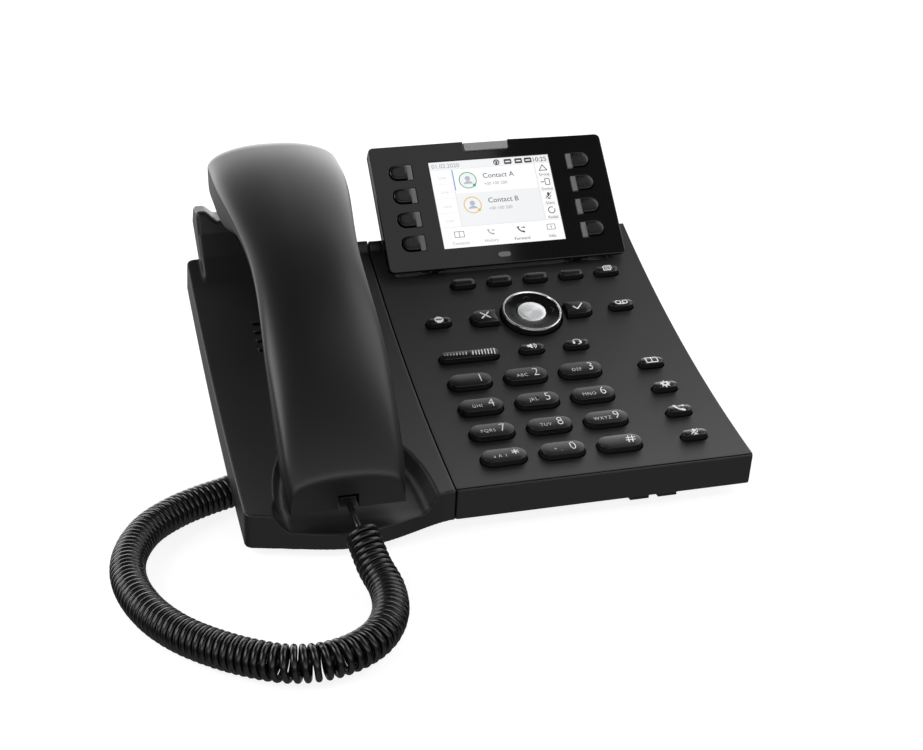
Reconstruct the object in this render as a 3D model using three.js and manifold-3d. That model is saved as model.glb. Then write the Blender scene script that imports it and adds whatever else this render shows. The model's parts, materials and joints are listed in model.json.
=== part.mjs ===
// Desk IP phone: a curved base with a key deck, a tilting colour display, a handset in its cradle
// and a coiled handset cord. Millimetres, +X to the phone's right, +Y to its back, +Z up.
// The origin lies on the desk, under the middle of the phone without its cord.
import * as THREE from "three";
import { mergeVertices } from "three/addons/utils/BufferGeometryUtils.js";
import Module from "manifold-3d";

const wasm = await Module();
wasm.setup();

const DEGREE = Math.PI / 180;
const GAP = 0.3; // room between two pieces that touch

// The deck is a concave arc seen from the side. It is measured from its front top edge, where the
// seam between the cradle and the key deck is: u to the right, s back along the arc, h off it.
const DECK = {
  slope: 9.924 * DEGREE,
  radius: 563,
  length: 163.8,
  left: -82,
  right: 123.9,
  depth: 14.4,
};
const DESK_Z = -18.2; // the desk, below the deck's front top edge
const WALL = 2;
const FACEPLATE = { front: 1.2, thickness: 1.5 };
const SKIRT_FOOT = -14.1;
const FLOOR_TOP = -12.4;
const WELL = { left: 9, right: 113, front: 141.4, floor: -7.5 };

const KEY = { height: 2.8, play: 0.35, flangeTop: -3.6, flangeBottom: -4.4 };
const DIAL = { width: 18.9, depth: 8.8, firstU: 23.6, lastRowS: 16.5, pitchU: 24.36, pitchS: 17 };
const SMALL_KEY = { width: 11.2, depth: 4.8 };
const SOFT_KEY = { firstU: 37.1, s: 131.6, pitch: 17 };
const SIDE_COLUMN_U = 104.5;
const NAV = { u: 62.5, s: 108, ringRadius: 13.5, buttonRadius: 6.35, height: 3.2, side: 16.1 };
const ROCKER = { u: 27.7, s: 84.4, width: 26.4, depth: 5.6, pivot: -3 };

const DISPLAY = {
  tilt: 47.8 * DEGREE,
  left: 5.3,
  right: 117.3,
  height: 62.1,
  s: 140.5,
  lift: 3.3,
  thickness: 11,
  bezel: 3.6,
  plate: 1.8,
};
const SCREEN = { left: 32.4, bottom: 9.6, width: 57.6, height: 43.6 };
const LINE_KEY = { width: 7.9, height: 6.6, topRow: 49, pitch: 11.87, rows: 4, led: 2.3, inset: 8.2 };
const LIGHT = { u: 61.3, width: 21.2, height: 4.1 };
const HINGE = { r: 3, z: -5, pin: 1.3, bore: 1.65, ear: 2.6, width: 4, fromSide: 20 };
const STAND = { left: -50, right: 92, front: 96, back: 152, web: 3 };
const FRONT_FEET = { at: [-66, 75, 87], width: 8 };
const COVER = { inset: 4.8, plateFrom: 7, plate: 1.2 }; // the rear cover is narrower than its plate

const HANDSET = { x: -43.3, wall: 2, mouthY: -4, mouthZ: 0.4 };
const HANDSET_PATH = [
  [-5, -4],
  [19, 50],
  [69, 92],
  [160, 95],
]; // y and z of the crease line's Bezier points, from the mouth end to the ear end
const EARPIECE = { y: 133.5, z: 80.4, lean: 5 * DEGREE, radius: 15, thickness: 5 };
const NOTCH = { width: 7.4, height: 5, depth: 12 };
const CUP = { left: -76, right: -10.6, cheek: 3 };
const POCKET = { left: -69.3, right: -8.1, backLeft: -57, backRight: -24, back: 50, depth: 7.4 };
const BULGE = { from: -81, to: -2, reach: 9.5, root: 0.3, lip: -6.5 };
const SPEAKER = { x: -43.3, s: 107, radius: 16.5, thickness: 7 };
const SLOT = { s: 111.4, pitch: 5.6, width: 1.9, length: 32 }; // the sound slots above the speaker

const PLUG = { width: 6.2, height: 3.9, length: 10 };
const JACK = { x: -45, y: 72, z: -1.7, length: 14, wall: 1.6 };
const CORD = { coilRadius: 6.6, wireRadius: 1.2 };

// The cord's route over the desk, in the phone's own frame: x, y and z of its centreline.
const COIL_ROUTE = [
  [-64, -102.5, 18.9],
  [-62.8, -109.8, 15.2],
  [-61.4, -120, 9.8],
  [-59.7, -133, 6.9],
  [-62.5, -150, 6.8],
  [-69.8, -163.6, 6.8],
  [-79.5, -171.2, 6.8],
  [-91, -174.4, 6.8],
  [-102.7, -172.4, 6.8],
  [-113.6, -165.8, 6.8],
  [-124.6, -156, 6.8],
  [-134.9, -143.3, 6.8],
  [-143.3, -125.8, 6.8],
  [-147.7, -103.6, 6.8],
  [-145.9, -84, 6.8],
  [-137.4, -64.4, 6.8],
  [-125.2, -52, 6.8],
  [-113.2, -44.6, 6.8],
  [-102.5, -39.6, 6.8],
  [-92, -33, 6.8],
  [-83.5, -26, 6.8],
];
const BASE_TAIL_ROUTE = [
  [-83.3, -25.8, 6.8],
  [-80.6, -23.3, 7.3],
  [-77.6, -20, 9.9],
  [-74.6, -16.4, 13.8],
  [-71.4, -14.4, 16.2],
  [-68, -14.2, 16.5],
];
const HANDSET_TAIL_ROUTE = [
  [-64.25, -90.2, 21],
  [-64.25, -94, 20.9],
  [-64.2, -98, 20.2],
  [-64.05, -102.2, 19.1],
];

// ---- solids -------------------------------------------------------------------------------

function toSolid(geometry, matrix) {
  const plain = geometry.clone();
  plain.deleteAttribute("normal");
  plain.deleteAttribute("uv");
  if (matrix) plain.applyMatrix4(matrix);
  const merged = mergeVertices(plain, 1e-4);
  return new wasm.Manifold(
    new wasm.Mesh({
      numProp: 3,
      vertProperties: new Float32Array(merged.attributes.position.array),
      triVerts: new Uint32Array(merged.index.array),
    }),
  );
}

function toGeometry(solid) {
  const mesh = solid.getMesh();
  const geometry = new THREE.BufferGeometry();
  geometry.setAttribute("position", new THREE.BufferAttribute(mesh.vertProperties, 3));
  geometry.setIndex(new THREE.BufferAttribute(mesh.triVerts, 1));
  return geometry;
}

const union = (solids) => solids.reduce((all, solid) => all.add(solid));
const cut = (solid, cutters) => cutters.reduce((rest, cutter) => rest.subtract(cutter), solid);

// A side profile of [y, z] points, extruded along X from x0 to x1.
const SIDEWAYS = new THREE.Matrix4().makeBasis(
  new THREE.Vector3(0, 1, 0),
  new THREE.Vector3(0, 0, 1),
  new THREE.Vector3(1, 0, 0),
);
function sideSolid(points, x0, x1) {
  const shape = new THREE.Shape(points.map(([y, z]) => new THREE.Vector2(y, z)));
  const geometry = new THREE.ExtrudeGeometry(shape, { depth: x1 - x0, bevelEnabled: false });
  const matrix = new THREE.Matrix4().makeTranslation(x0, 0, 0).multiply(SIDEWAYS);
  return toSolid(geometry, matrix);
}

function extruded(shape, z0, z1, curveSegments = 4) {
  const geometry = new THREE.ExtrudeGeometry(shape, {
    depth: z1 - z0,
    bevelEnabled: false,
    curveSegments,
  });
  return geometry.translate(0, 0, z0);
}

function box(x0, x1, y0, y1, z0, z1) {
  const geometry = new THREE.BoxGeometry(x1 - x0, y1 - y0, z1 - z0);
  return geometry.translate((x0 + x1) / 2, (y0 + y1) / 2, (z0 + z1) / 2);
}

// ---- the deck's arc -----------------------------------------------------------------------

const deckAngle = (s) => DECK.slope + s / DECK.radius;
function deckPoint(s, h) {
  const a = deckAngle(s);
  const y = DECK.radius * (Math.sin(a) - Math.sin(DECK.slope)) - h * Math.sin(a);
  const z = DECK.radius * (Math.cos(DECK.slope) - Math.cos(a)) + h * Math.cos(a);
  return [y, z];
}

function arcPoints(s0, s1, h, steps) {
  return Array.from({ length: steps + 1 }, (_, i) => deckPoint(s0 + ((s1 - s0) * i) / steps, h));
}

// A slab that follows the deck from s0 to s1, between the heights h0 and h1.
function deckSlab(u0, u1, s0, s1, h0, h1) {
  const steps = Math.max(1, Math.round((s1 - s0) / 16));
  const outline = [...arcPoints(s0, s1, h0, steps), ...arcPoints(s0, s1, h1, steps).reverse()];
  return sideSolid(outline, u0, u1);
}

// The place and slope of a point on the deck, as a matrix.
function deckMatrix(u, s, h = 0) {
  const [y, z] = deckPoint(s, h);
  return new THREE.Matrix4()
    .makeTranslation(u, y, z)
    .multiply(new THREE.Matrix4().makeRotationX(deckAngle(s)));
}

// ---- scene graph --------------------------------------------------------------------------

const root = new THREE.Group();
const phone = new THREE.Group();
root.add(phone);

const CHARCOAL = { color: 0x2b2c2e, roughness: 0.5, metalness: 0 };
const BLACK = { color: 0x161617, roughness: 0.4, metalness: 0 };
const GLOSS = { color: 0x0c0c0d, roughness: 0.2, metalness: 0 };
const SILVER = { color: 0xc8cacc, roughness: 0.3, metalness: 1 };

function addPiece(parent, name, shape, look) {
  const geometry = shape.isBufferGeometry ? shape : toGeometry(shape);
  const mesh = new THREE.Mesh(geometry, new THREE.MeshStandardMaterial(look));
  mesh.name = name;
  parent.add(mesh);
  return mesh;
}

function placeOnDeck(mesh, u, s) {
  const [y, z] = deckPoint(s, 0);
  mesh.position.set(u, y, z);
  mesh.rotation.x = deckAngle(s);
  return mesh;
}

// ---- key outlines -------------------------------------------------------------------------

// A stadium, grown outwards all round by the given amount.
function stadium(width, depth, grow = 0) {
  const r = depth / 2 + grow;
  const reach = (width - depth) / 2;
  const shape = new THREE.Shape();
  shape.absarc(reach, 0, r, -Math.PI / 2, Math.PI / 2, false);
  shape.absarc(-reach, 0, r, Math.PI / 2, (3 * Math.PI) / 2, false);
  return shape;
}

// The cancel and confirm keys hug the navigation ring: side is -1 on its left and 1 on its right.
function huggingOutline(side, grow = 0) {
  const inner = NAV.side - grow;
  const outer = 27.8 + grow;
  const half = 4.3 + grow;
  const corner = 3.4 + grow;
  const start = Math.asin(half / inner);
  const shape = new THREE.Shape();
  shape.absarc(0, 0, inner, -start, start, false);
  shape.lineTo(outer - corner, half);
  shape.absarc(outer - corner, half - corner, corner, Math.PI / 2, 0, true);
  shape.absarc(outer - corner, corner - half, corner, 0, -Math.PI / 2, true);
  shape.closePath();
  if (side > 0) return shape;
  const mirrored = shape.getPoints(4).map((p) => new THREE.Vector2(-p.x, p.y));
  return new THREE.Shape(mirrored.reverse());
}

function disc(radius) {
  const shape = new THREE.Shape();
  shape.absarc(0, 0, radius, 0, 2 * Math.PI, false);
  return shape;
}

// ---- keys on the deck ---------------------------------------------------------------------

// Every deck key: its name, its place, and its outline as a function of how much it grows.
const deckKeys = [];
const addKey = (name, u, s, outline) => deckKeys.push({ name, u, s, outline });
const smallOutline = (grow) => stadium(SMALL_KEY.width, SMALL_KEY.depth, grow);

["1", "2", "3", "4", "5", "6", "7", "8", "9", "star", "0", "hash"].forEach((label, i) => {
  const column = i % 3;
  const row = Math.floor(i / 3);
  const u = DIAL.firstU + column * DIAL.pitchU;
  const s = DIAL.lastRowS + (3 - row) * DIAL.pitchS;
  addKey("dial_key_" + label, u, s, (grow) => stadium(DIAL.width, DIAL.depth, grow));
});
for (let i = 0; i < 4; i++) {
  addKey("soft_key_" + (i + 1), SOFT_KEY.firstU + i * SOFT_KEY.pitch, SOFT_KEY.s, smallOutline);
}
addKey("page_key", SOFT_KEY.firstU + 4 * SOFT_KEY.pitch, SOFT_KEY.s, smallOutline);
addKey("do_not_disturb_key", 20.1, NAV.s, smallOutline);
addKey("voicemail_key", SIDE_COLUMN_U, NAV.s, smallOutline);
addKey("cancel_key", NAV.u, NAV.s, (grow) => huggingOutline(-1, grow));
addKey("confirm_key", NAV.u, NAV.s, (grow) => huggingOutline(1, grow));
addKey("speaker_key", 55.8, 84.8, smallOutline);
addKey("headset_key", 76.1, 84.8, smallOutline);
["directory_key", "settings_key", "hold_key", "mute_key"].forEach((name, row) => {
  addKey(name, SIDE_COLUMN_U, DIAL.lastRowS + (3 - row) * DIAL.pitchS, smallOutline);
});

for (const { name, u, s, outline } of deckKeys) {
  const cap = toSolid(extruded(outline(0), KEY.flangeTop, KEY.height));
  const flange = toSolid(extruded(outline(1), KEY.flangeBottom, KEY.flangeTop));
  placeOnDeck(addPiece(phone, name, cap.add(flange), BLACK), u, s);
}

// The navigation ring rocks both ways on its carrier, and the round button slides inside it.
function navigationKey() {
  const ringShape = disc(NAV.ringRadius);
  ringShape.holes.push(disc(NAV.buttonRadius + KEY.play));
  const ring = toSolid(extruded(ringShape, -3.3, NAV.height, 12));
  placeOnDeck(addPiece(phone, "nav_ring", ring, BLACK), NAV.u, NAV.s);
  const carrierShape = disc(10.5);
  carrierShape.holes.push(disc(3.2));
  const carrier = extruded(carrierShape, -5.4, -4.4, 8);
  placeOnDeck(addPiece(phone, "nav_carrier_plate", carrier, SILVER), NAV.u, NAV.s);
  const button = toSolid(extruded(disc(NAV.buttonRadius), -1.8, NAV.height - 0.3, 8));
  const stem = toSolid(extruded(disc(2.2), -5.2, -1.6, 5));
  placeOnDeck(addPiece(phone, "nav_centre_button", button.add(stem), SILVER), NAV.u, NAV.s);
}
navigationKey();

function volumeRocker() {
  const cap = toSolid(extruded(stadium(ROCKER.width, ROCKER.depth), ROCKER.pivot, KEY.height));
  placeOnDeck(addPiece(phone, "volume_rocker", cap, BLACK), ROCKER.u, ROCKER.s);
}
volumeRocker();

// Each key has its own opening in the faceplate.
const keyOpenings = deckKeys.map(({ u, s, outline }) =>
  toSolid(extruded(outline(KEY.play), -6, 2), deckMatrix(u, s)),
);
keyOpenings.push(toSolid(extruded(disc(NAV.ringRadius + 0.6), -6, 2, 12), deckMatrix(NAV.u, NAV.s)));
const rockerOpening = stadium(ROCKER.width, ROCKER.depth, 0.5);
keyOpenings.push(toSolid(extruded(rockerOpening, -6, 2), deckMatrix(ROCKER.u, ROCKER.s)));

// ---- base housings ------------------------------------------------------------------------

const SEAM = GAP / 2;

// The two upper shells leave this strip free at their seam, where the floor runs through.
const seamPassage = deckSlab(-4, 4, WALL, DECK.length - WALL, SKIRT_FOOT - 1, FLOOR_TOP + GAP);

function deckFaceplate() {
  const { front, thickness } = FACEPLATE;
  const plate = deckSlab(SEAM, DECK.right, front, DECK.length, -thickness, 0);
  const well = deckSlab(WELL.left, WELL.right, WELL.front, DECK.length + 2, -4, 2);
  addPiece(phone, "deck_faceplate", cut(plate, [well, ...keyOpenings]), CHARCOAL);
}
deckFaceplate();

// The bearing ears of the display hinge stand in the well and reach into the display.
const displayFrame = new THREE.Matrix4();
{
  const [y, z] = deckPoint(DISPLAY.s, DISPLAY.lift);
  displayFrame.makeTranslation(0, y, z);
  displayFrame.multiply(new THREE.Matrix4().makeRotationX(DISPLAY.tilt));
}
const hingeAxis = new THREE.Vector3(0, HINGE.r, HINGE.z).applyMatrix4(displayFrame);
const hingeEars = [DISPLAY.left + HINGE.fromSide, DISPLAY.right - HINGE.fromSide - HINGE.width];

function hingeCylinder(u0, u1, radius, segments) {
  const geometry = new THREE.CylinderGeometry(radius, radius, u1 - u0, segments);
  geometry.rotateZ(Math.PI / 2);
  geometry.translate((u0 + u1) / 2, hingeAxis.y, hingeAxis.z);
  return toSolid(geometry);
}

function hingeEar(u) {
  const foot = deckPoint(152, WELL.floor - 0.5);
  const post = sideSolid(
    [
      [hingeAxis.y - HINGE.ear, hingeAxis.z],
      [foot[0] - 7, foot[1] - 3],
      [foot[0] + 1, foot[1]],
      [hingeAxis.y + HINGE.ear, hingeAxis.z],
    ],
    u,
    u + HINGE.width,
  );
  const eye = hingeCylinder(u, u + HINGE.width, HINGE.ear, 20);
  return post.add(eye).subtract(hingeCylinder(u - 1, u + HINGE.width + 1, HINGE.bore, 16));
}

// Below the faceplate, the deck housing has one window for each group of keys.
const KEY_WINDOWS = {
  dial: { u: [12.4, 83.4], s: [10.8, 73.8] },
  sideColumn: { u: [97.2, 111.8], s: [12.2, 71.8] },
  middle: { u: [11, 112], s: [79.5, 125.2] },
  softRow: { u: [30.2, 112], s: [127.4, 135.8] },
};

function deckHousing() {
  const top = -FACEPLATE.thickness - GAP;
  const inner = DECK.length - WALL;
  const body = deckSlab(SEAM, DECK.right, 0, DECK.length, SKIRT_FOOT, top);
  const frontRim = deckSlab(SEAM, DECK.right, 0, FACEPLATE.front - GAP, SKIRT_FOOT, 0);
  const hollowLeft = SEAM + WALL;
  const hollow = deckSlab(hollowLeft, DECK.right - WALL, WALL, inner, SKIRT_FOOT - 1, top - 1.5);
  const wellWalls = deckSlab(
    WELL.left - WALL,
    WELL.right + WALL,
    WELL.front - WALL,
    DECK.length - 1,
    WELL.floor - WALL,
    top - 0.5,
  );
  const well = deckSlab(WELL.left, WELL.right, WELL.front, DECK.length + 2, WELL.floor, 2);
  const windows = Object.values(KEY_WINDOWS).map(({ u, s }) =>
    deckSlab(u[0], u[1], s[0], s[1], -5, 2),
  );
  const open = cut(body.add(frontRim), [hollow, seamPassage, ...windows]);
  const shell = open.add(wellWalls).subtract(well);
  const ears = hingeEars.map((u) => hingeEar(u));
  addPiece(phone, "deck_housing", union([shell, ...ears]), CHARCOAL);
}
deckHousing();

function lowerHousing() {
  const edge = WALL + GAP;
  const plate = deckSlab(
    DECK.left + edge,
    DECK.right - edge,
    edge,
    DECK.length - edge,
    -DECK.depth,
    FLOOR_TOP,
  );
  // Posts under the two upper shells.
  const posts = [-74, -10, 10, 116].flatMap((u) =>
    [14, 132].map((s) => deckSlab(u - 2.5, u + 2.5, s - 2.5, s + 2.5, FLOOR_TOP - 0.5, -10.2)),
  );
  const { x, y, z, length, wall } = JACK;
  const [halfY, halfZ] = [PLUG.width / 2 + GAP, PLUG.height / 2 + GAP];
  const hood = toSolid(box(x, x + length, y - halfY - wall, y + halfY + wall, z - halfZ - 1, z + 6));
  const socket = toSolid(box(x - 4, x + length - 2, y - halfY, y + halfY, z - halfZ, z + halfZ));
  const floor = union([plate, ...posts, hood.subtract(deckSlab(-60, 0, 50, 90, FLOOR_TOP, 5))]);
  addPiece(phone, "lower_housing", floor.subtract(socket), CHARCOAL);
}
lowerHousing();

function frontFootStrip() {
  const { at, width } = FRONT_FEET;
  const top = -DECK.depth - GAP;
  const bar = deckSlab(at[0], at[2] + width, 3.2, 11, top - 1.2, top);
  const lumps = at.map((x) => toSolid(box(x, x + width, 8.8, 12.8, DESK_Z, -13.9)));
  addPiece(phone, "front_foot_strip", union([bar, ...lumps]), BLACK);
}
frontFootStrip();

// The stand clips under the rear of the base: a flange, a slanted leg and three webs.
function deskStand() {
  const top = -DECK.depth - GAP;
  const { left, right, front, back, web } = STAND;
  const flange = deckSlab(left, right, front, back, top - 3, top);
  const legTop = deckPoint(100, top - 1);
  const legRear = deckPoint(108, top - 1);
  const webRear = deckPoint(148, top - 1);
  const leg = [legTop, legRear, [163, DESK_Z + 5], [168, DESK_Z + 4], [168, DESK_Z], [152, DESK_Z]];
  const webSide = [legTop, webRear, [166, DESK_Z + 3], [156, DESK_Z + 1]];
  const middle = (left + right - web) / 2;
  const webs = [left, middle, right - web].map((x) => sideSolid(webSide, x, x + web));
  addPiece(phone, "desk_stand", union([flange, sideSolid(leg, left, right), ...webs]), BLACK);
}
deskStand();

// ---- handset ------------------------------------------------------------------------------

const smoothStep = (from, to, t) => {
  const k = THREE.MathUtils.clamp((t - from) / (to - from), 0, 1);
  return k * k * (3 - 2 * k);
};

const handsetPath = new THREE.CubicBezierCurve(
  ...HANDSET_PATH.map(([y, z]) => new THREE.Vector2(y, z)),
);
const HANDSET_LENGTH = handsetPath.getLength();

// The handset's cross section at t: half width, crown above the crease, depth below it.
function handsetSection(t) {
  const fromEar = (1 - t) * HANDSET_LENGTH;
  const rounding = 11;
  const k = Math.min(1, fromEar / rounding);
  const end = Math.pow(1 - Math.pow(1 - k, 2.2), 1 / 2.2);
  return {
    half: end * (22.2 + 1.4 * smoothStep(0.02, 0.12, t) - 1.5 * smoothStep(0.3, 0.5, t)
      + 5.9 * smoothStep(0.52, 0.86, t)),
    crown: end * (5 + 1.2 * smoothStep(0.05, 0.3, t) + 2 * smoothStep(0.6, 0.9, t)),
    depth: end * (16 - 4.5 * smoothStep(0.2, 0.38, t) + 7.5 * smoothStep(0.66, 0.8, t)),
    crownPower: 2.6,
    depthPower: 3.4 - 1 * smoothStep(0.2, 0.4, t) + 2.4 * smoothStep(0.62, 0.8, t),
  };
}

// A closed loft of the handset's outer shape, or of its inside where inset is its wall.
function handsetLoft(inset, rows = 22, columns = 24) {
  const positions = [];
  const finish = 1 - (inset + 0.25) / HANDSET_LENGTH;
  const closing = 4; // the rows that round off the ear end
  const closingStart = 0.935;
  for (let i = 0; i <= rows; i++) {
    const left = (rows - i) / closing;
    const t = left < 1
      ? finish - (finish - closingStart) * left * left
      : (0.95 * finish * i) / rows;
    const at = handsetPath.getPoint(handsetPath.getUtoTmapping(t));
    const along = handsetPath.getTangent(handsetPath.getUtoTmapping(t));
    const section = handsetSection(t);
    for (let j = 0; j < columns; j++) {
      const angle = (2 * Math.PI * j) / columns;
      const up = Math.sin(angle) >= 0;
      const power = 2 / (up ? section.crownPower : section.depthPower);
      const bend = (value) => Math.sign(value) * Math.pow(Math.abs(value), power);
      const reach = Math.max(0.3, (up ? section.crown : section.depth) - inset);
      const across = Math.max(0.3, section.half - inset) * bend(Math.cos(angle));
      const off = reach * bend(Math.sin(angle));
      positions.push(HANDSET.x + across, at.x - along.y * off, at.y + along.x * off);
    }
  }
  const last = rows * columns;
  const caps = [0, last].map((row) => {
    const middle = [0, 1, 2].map((axis) => {
      const values = Array.from({ length: columns }, (_, j) => positions[3 * (row + j) + axis]);
      return values.reduce((a, b) => a + b) / columns;
    });
    positions.push(...middle);
    return positions.length / 3 - 1;
  });
  const index = [];
  for (let j = 0; j < columns; j++) {
    const next = (j + 1) % columns;
    for (let row = 0; row < last; row += columns) {
      const [a, b, c, d] = [row + j, row + next, row + columns + next, row + columns + j];
      index.push(a, c, b, a, d, c);
    }
    index.push(caps[0], j, next, caps[1], last + next, last + j);
  }
  const geometry = new THREE.BufferGeometry();
  geometry.setAttribute("position", new THREE.Float32BufferAttribute(positions, 3));
  geometry.setIndex(index);
  const mouthY = HANDSET.mouthY + inset;
  const mouthZ = HANDSET.mouthZ + inset;
  const front = toSolid(box(-100, 20, -60, mouthY, -60, 200));
  const below = toSolid(box(-100, 20, -60, 60, -60, mouthZ));
  return cut(toSolid(geometry), [front, below]);
}

// One side of the crease line, between the two shells: 1 is above it, -1 below.
function creaseSide(side) {
  const line = [];
  for (let i = 0; i <= 24; i++) {
    const t = i / 24;
    const at = handsetPath.getPoint(t);
    const along = handsetPath.getTangent(t);
    line.push([at.x - (side * along.y * GAP) / 2, at.y + (side * along.x * GAP) / 2]);
  }
  const end = line[24];
  const ring = side > 0
    ? [[line[0][0] - 20, line[0][1] - 45], ...line, [220, end[1]], [220, 220], [-90, 220]]
    : [[line[0][0] - 20, line[0][1] - 45], ...line, [220, end[1]], [220, -90]];
  if (side > 0) ring.push([-90, -60]);
  return sideSolid(ring, -100, 20);
}

const handsetBody = new THREE.Group();
phone.add(handsetBody);

function handset() {
  const skin = handsetLoft(0).subtract(handsetLoft(HANDSET.wall, 18, 20));
  const half = NOTCH.width / 2;
  const [x0, x1] = [HANDSET.x - half, HANDSET.x + half];
  const notchBack = HANDSET.mouthY + NOTCH.depth;
  const notch = toSolid(box(x0, x1, -20, notchBack, -10, HANDSET.mouthZ + NOTCH.height));
  const outer = skin.intersect(creaseSide(1)).subtract(notch);
  const inner = skin.intersect(creaseSide(-1)).subtract(notch);
  addPiece(handsetBody, "handset_outer_shell", outer, CHARCOAL);
  addPiece(handsetBody, "handset_inner_shell", inner, BLACK);
  const { y, z, lean, radius, thickness } = EARPIECE;
  const capsule = new THREE.CylinderGeometry(radius, radius, thickness, 20);
  const mesh = addPiece(handsetBody, "earpiece_capsule", capsule, SILVER);
  mesh.position.set(HANDSET.x, y, z);
  mesh.rotation.x = Math.PI / 2 + lean;
}
handset();

// ---- cradle -------------------------------------------------------------------------------

// The front wall swells forwards below the handset, as an arc between the two ends of the bulge.
function frontBulge(reach, top) {
  const shape = new THREE.Shape();
  const steps = 18;
  shape.moveTo(BULGE.to, 4);
  shape.lineTo(BULGE.from, 4);
  for (let i = 0; i <= steps; i++) {
    const share = i / steps;
    const x = BULGE.from + share * (BULGE.to - BULGE.from);
    shape.lineTo(x, BULGE.root - (reach + BULGE.root) * Math.pow(Math.sin(Math.PI * share), 1.4));
  }
  return toSolid(extruded(shape, SKIRT_FOOT, top), deckMatrix(0, 0));
}

// The recess for the mouth end, in the deck's plane near the front, grown by the given amount.
function mouthPocket(grow, depth) {
  const { left, right, backLeft, backRight, back } = POCKET;
  const shape = new THREE.Shape();
  shape.moveTo(left - grow, -24);
  shape.lineTo(right + grow, -24);
  shape.lineTo(right + grow, 4);
  shape.bezierCurveTo(right + grow, 26, backRight + 8, back + grow, backRight, back + grow);
  shape.lineTo(backLeft, back + grow);
  shape.bezierCurveTo(backLeft - 8, back + grow, left - grow, 26, left - grow, 4);
  shape.closePath();
  return toSolid(extruded(shape, -depth, 6, 8), deckMatrix(0, 4));
}

// The ear cup rises behind the deck, with a rest for the ear end in its middle.
const cupProfile = [
  deckPoint(140, -1),
  [150, 53],
  [156, 62],
  [159, 74],
  [163, 76.5],
  [169, 73],
  [177.5, 62],
  [165, 52],
  deckPoint(162, -6),
];
const cupHollow = [
  deckPoint(147, -3.5),
  [153.5, 55],
  [158.8, 64],
  [161.5, 72.5],
  [163.5, 73.5],
  [167.5, 70.5],
  [173, 62.5],
  [162, 53.5],
  deckPoint(160.5, -3.5),
];
const restProfile = [
  deckPoint(123, -1),
  [126, 52],
  [130, 66],
  [134, 70.5],
  [156, 74.5],
  [162, 60],
  deckPoint(150, -1),
];
const restHollow = [
  deckPoint(126.5, -3),
  [129, 52],
  [132.5, 65],
  [135.5, 68],
  [150, 70.5],
  [153, 60],
  deckPoint(148, -3),
];
// The ear end lies in this room, between the cup's cheeks, and lifts out of it upwards.
const earRoom = [
  [108, 66.8],
  [125, 71.4],
  [136.3, 73.2],
  [148.2, 74.4],
  [157, 76.2],
  [163, 80],
  [167, 92],
  [90, 92],
];
const REST = { left: -64, right: -22.6 };
const PLUNGER = { y: 142, width: 8, depth: 5, top: 72.6, bottom: 58 };

function handsetCradle() {
  const right = -SEAM;
  const slab = deckSlab(DECK.left, right, 0, DECK.length, SKIRT_FOOT, 0);
  const cup = sideSolid(cupProfile, CUP.left, CUP.right);
  const rest = sideSolid(restProfile, REST.left, REST.right);
  const body = union([slab, frontBulge(BULGE.reach, BULGE.lip), cup, rest]);

  const hollow = deckSlab(DECK.left + WALL, right - WALL, WALL, DECK.length - WALL, -15, -WALL);
  const bulgeHollow = frontBulge(BULGE.reach - WALL, BULGE.lip - WALL - 1.4);
  const pocketWalls = mouthPocket(WALL, POCKET.depth + WALL);
  const inside = hollow.add(bulgeHollow).subtract(pocketWalls);
  const { cheek } = CUP;
  const cupInside = sideSolid(cupHollow, CUP.left + cheek, CUP.right - cheek);
  const restInside = sideSolid(restHollow, REST.left + WALL, REST.right - WALL);

  const room = sideSolid(earRoom, CUP.left + cheek, CUP.right - cheek);
  const slots = [-1.5, -0.5, 0.5, 1.5].map((i) => {
    const s = SLOT.s + i * SLOT.pitch;
    const [long, wide] = [SLOT.length / 2, SLOT.width / 2];
    return deckSlab(SPEAKER.x - long, SPEAKER.x + long, s - wide, s + wide, -4, 2);
  });
  const plungerHole = toSolid(
    box(
      HANDSET.x - PLUNGER.width / 2 - 0.4,
      HANDSET.x + PLUNGER.width / 2 + 0.4,
      PLUNGER.y - PLUNGER.depth / 2 - 0.4,
      PLUNGER.y + PLUNGER.depth / 2 + 0.4,
      62,
      90,
    ),
  );
  const cradle = cut(body, [mouthPocket(0, POCKET.depth), inside, cupInside, restInside]);
  const shell = cut(cradle, [room, ...slots, plungerHole, seamPassage]);
  addPiece(phone, "handset_cradle", shell, CHARCOAL);
}
handsetCradle();

function hookPlunger() {
  const { y, width, depth, top, bottom } = PLUNGER;
  const post = toSolid(
    box(HANDSET.x - width / 2, HANDSET.x + width / 2, y - depth / 2, y + depth / 2, bottom, top),
  );
  const stop = toSolid(
    box(HANDSET.x - width / 2 - 1.5, HANDSET.x + width / 2 + 1.5, y - 3.5, y + 3.5, bottom, 60),
  );
  addPiece(phone, "hook_plunger", post.add(stop), BLACK);
}
hookPlunger();

// ---- electronics --------------------------------------------------------------------------

function mainBoard() {
  const board = addPiece(phone, "main_board", box(-57, 57, -46, 46, -9, -7.4), {
    color: 0x1f5a35,
    roughness: 0.6,
    metalness: 0,
  });
  placeOnDeck(board, 62, 70);
}
mainBoard();

function loudspeaker() {
  const { radius, thickness } = SPEAKER;
  const profile = [
    [0, -thickness],
    [radius * 0.5, -thickness],
    [radius * 0.5, -thickness * 0.6],
    [radius * 0.9, -thickness * 0.3],
    [radius, -thickness * 0.3],
    [radius, 0],
    [0, 0],
  ];
  const geometry = new THREE.LatheGeometry(
    profile.map(([r, z]) => new THREE.Vector2(r, z)),
    24,
  );
  geometry.rotateX(Math.PI / 2);
  geometry.translate(0, 0, -3.2);
  placeOnDeck(addPiece(phone, "loudspeaker", geometry, BLACK), SPEAKER.x, SPEAKER.s);
}
loudspeaker();

// ---- display ------------------------------------------------------------------------------

const display = new THREE.Group();
display.applyMatrix4(displayFrame);
phone.add(display);

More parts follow.
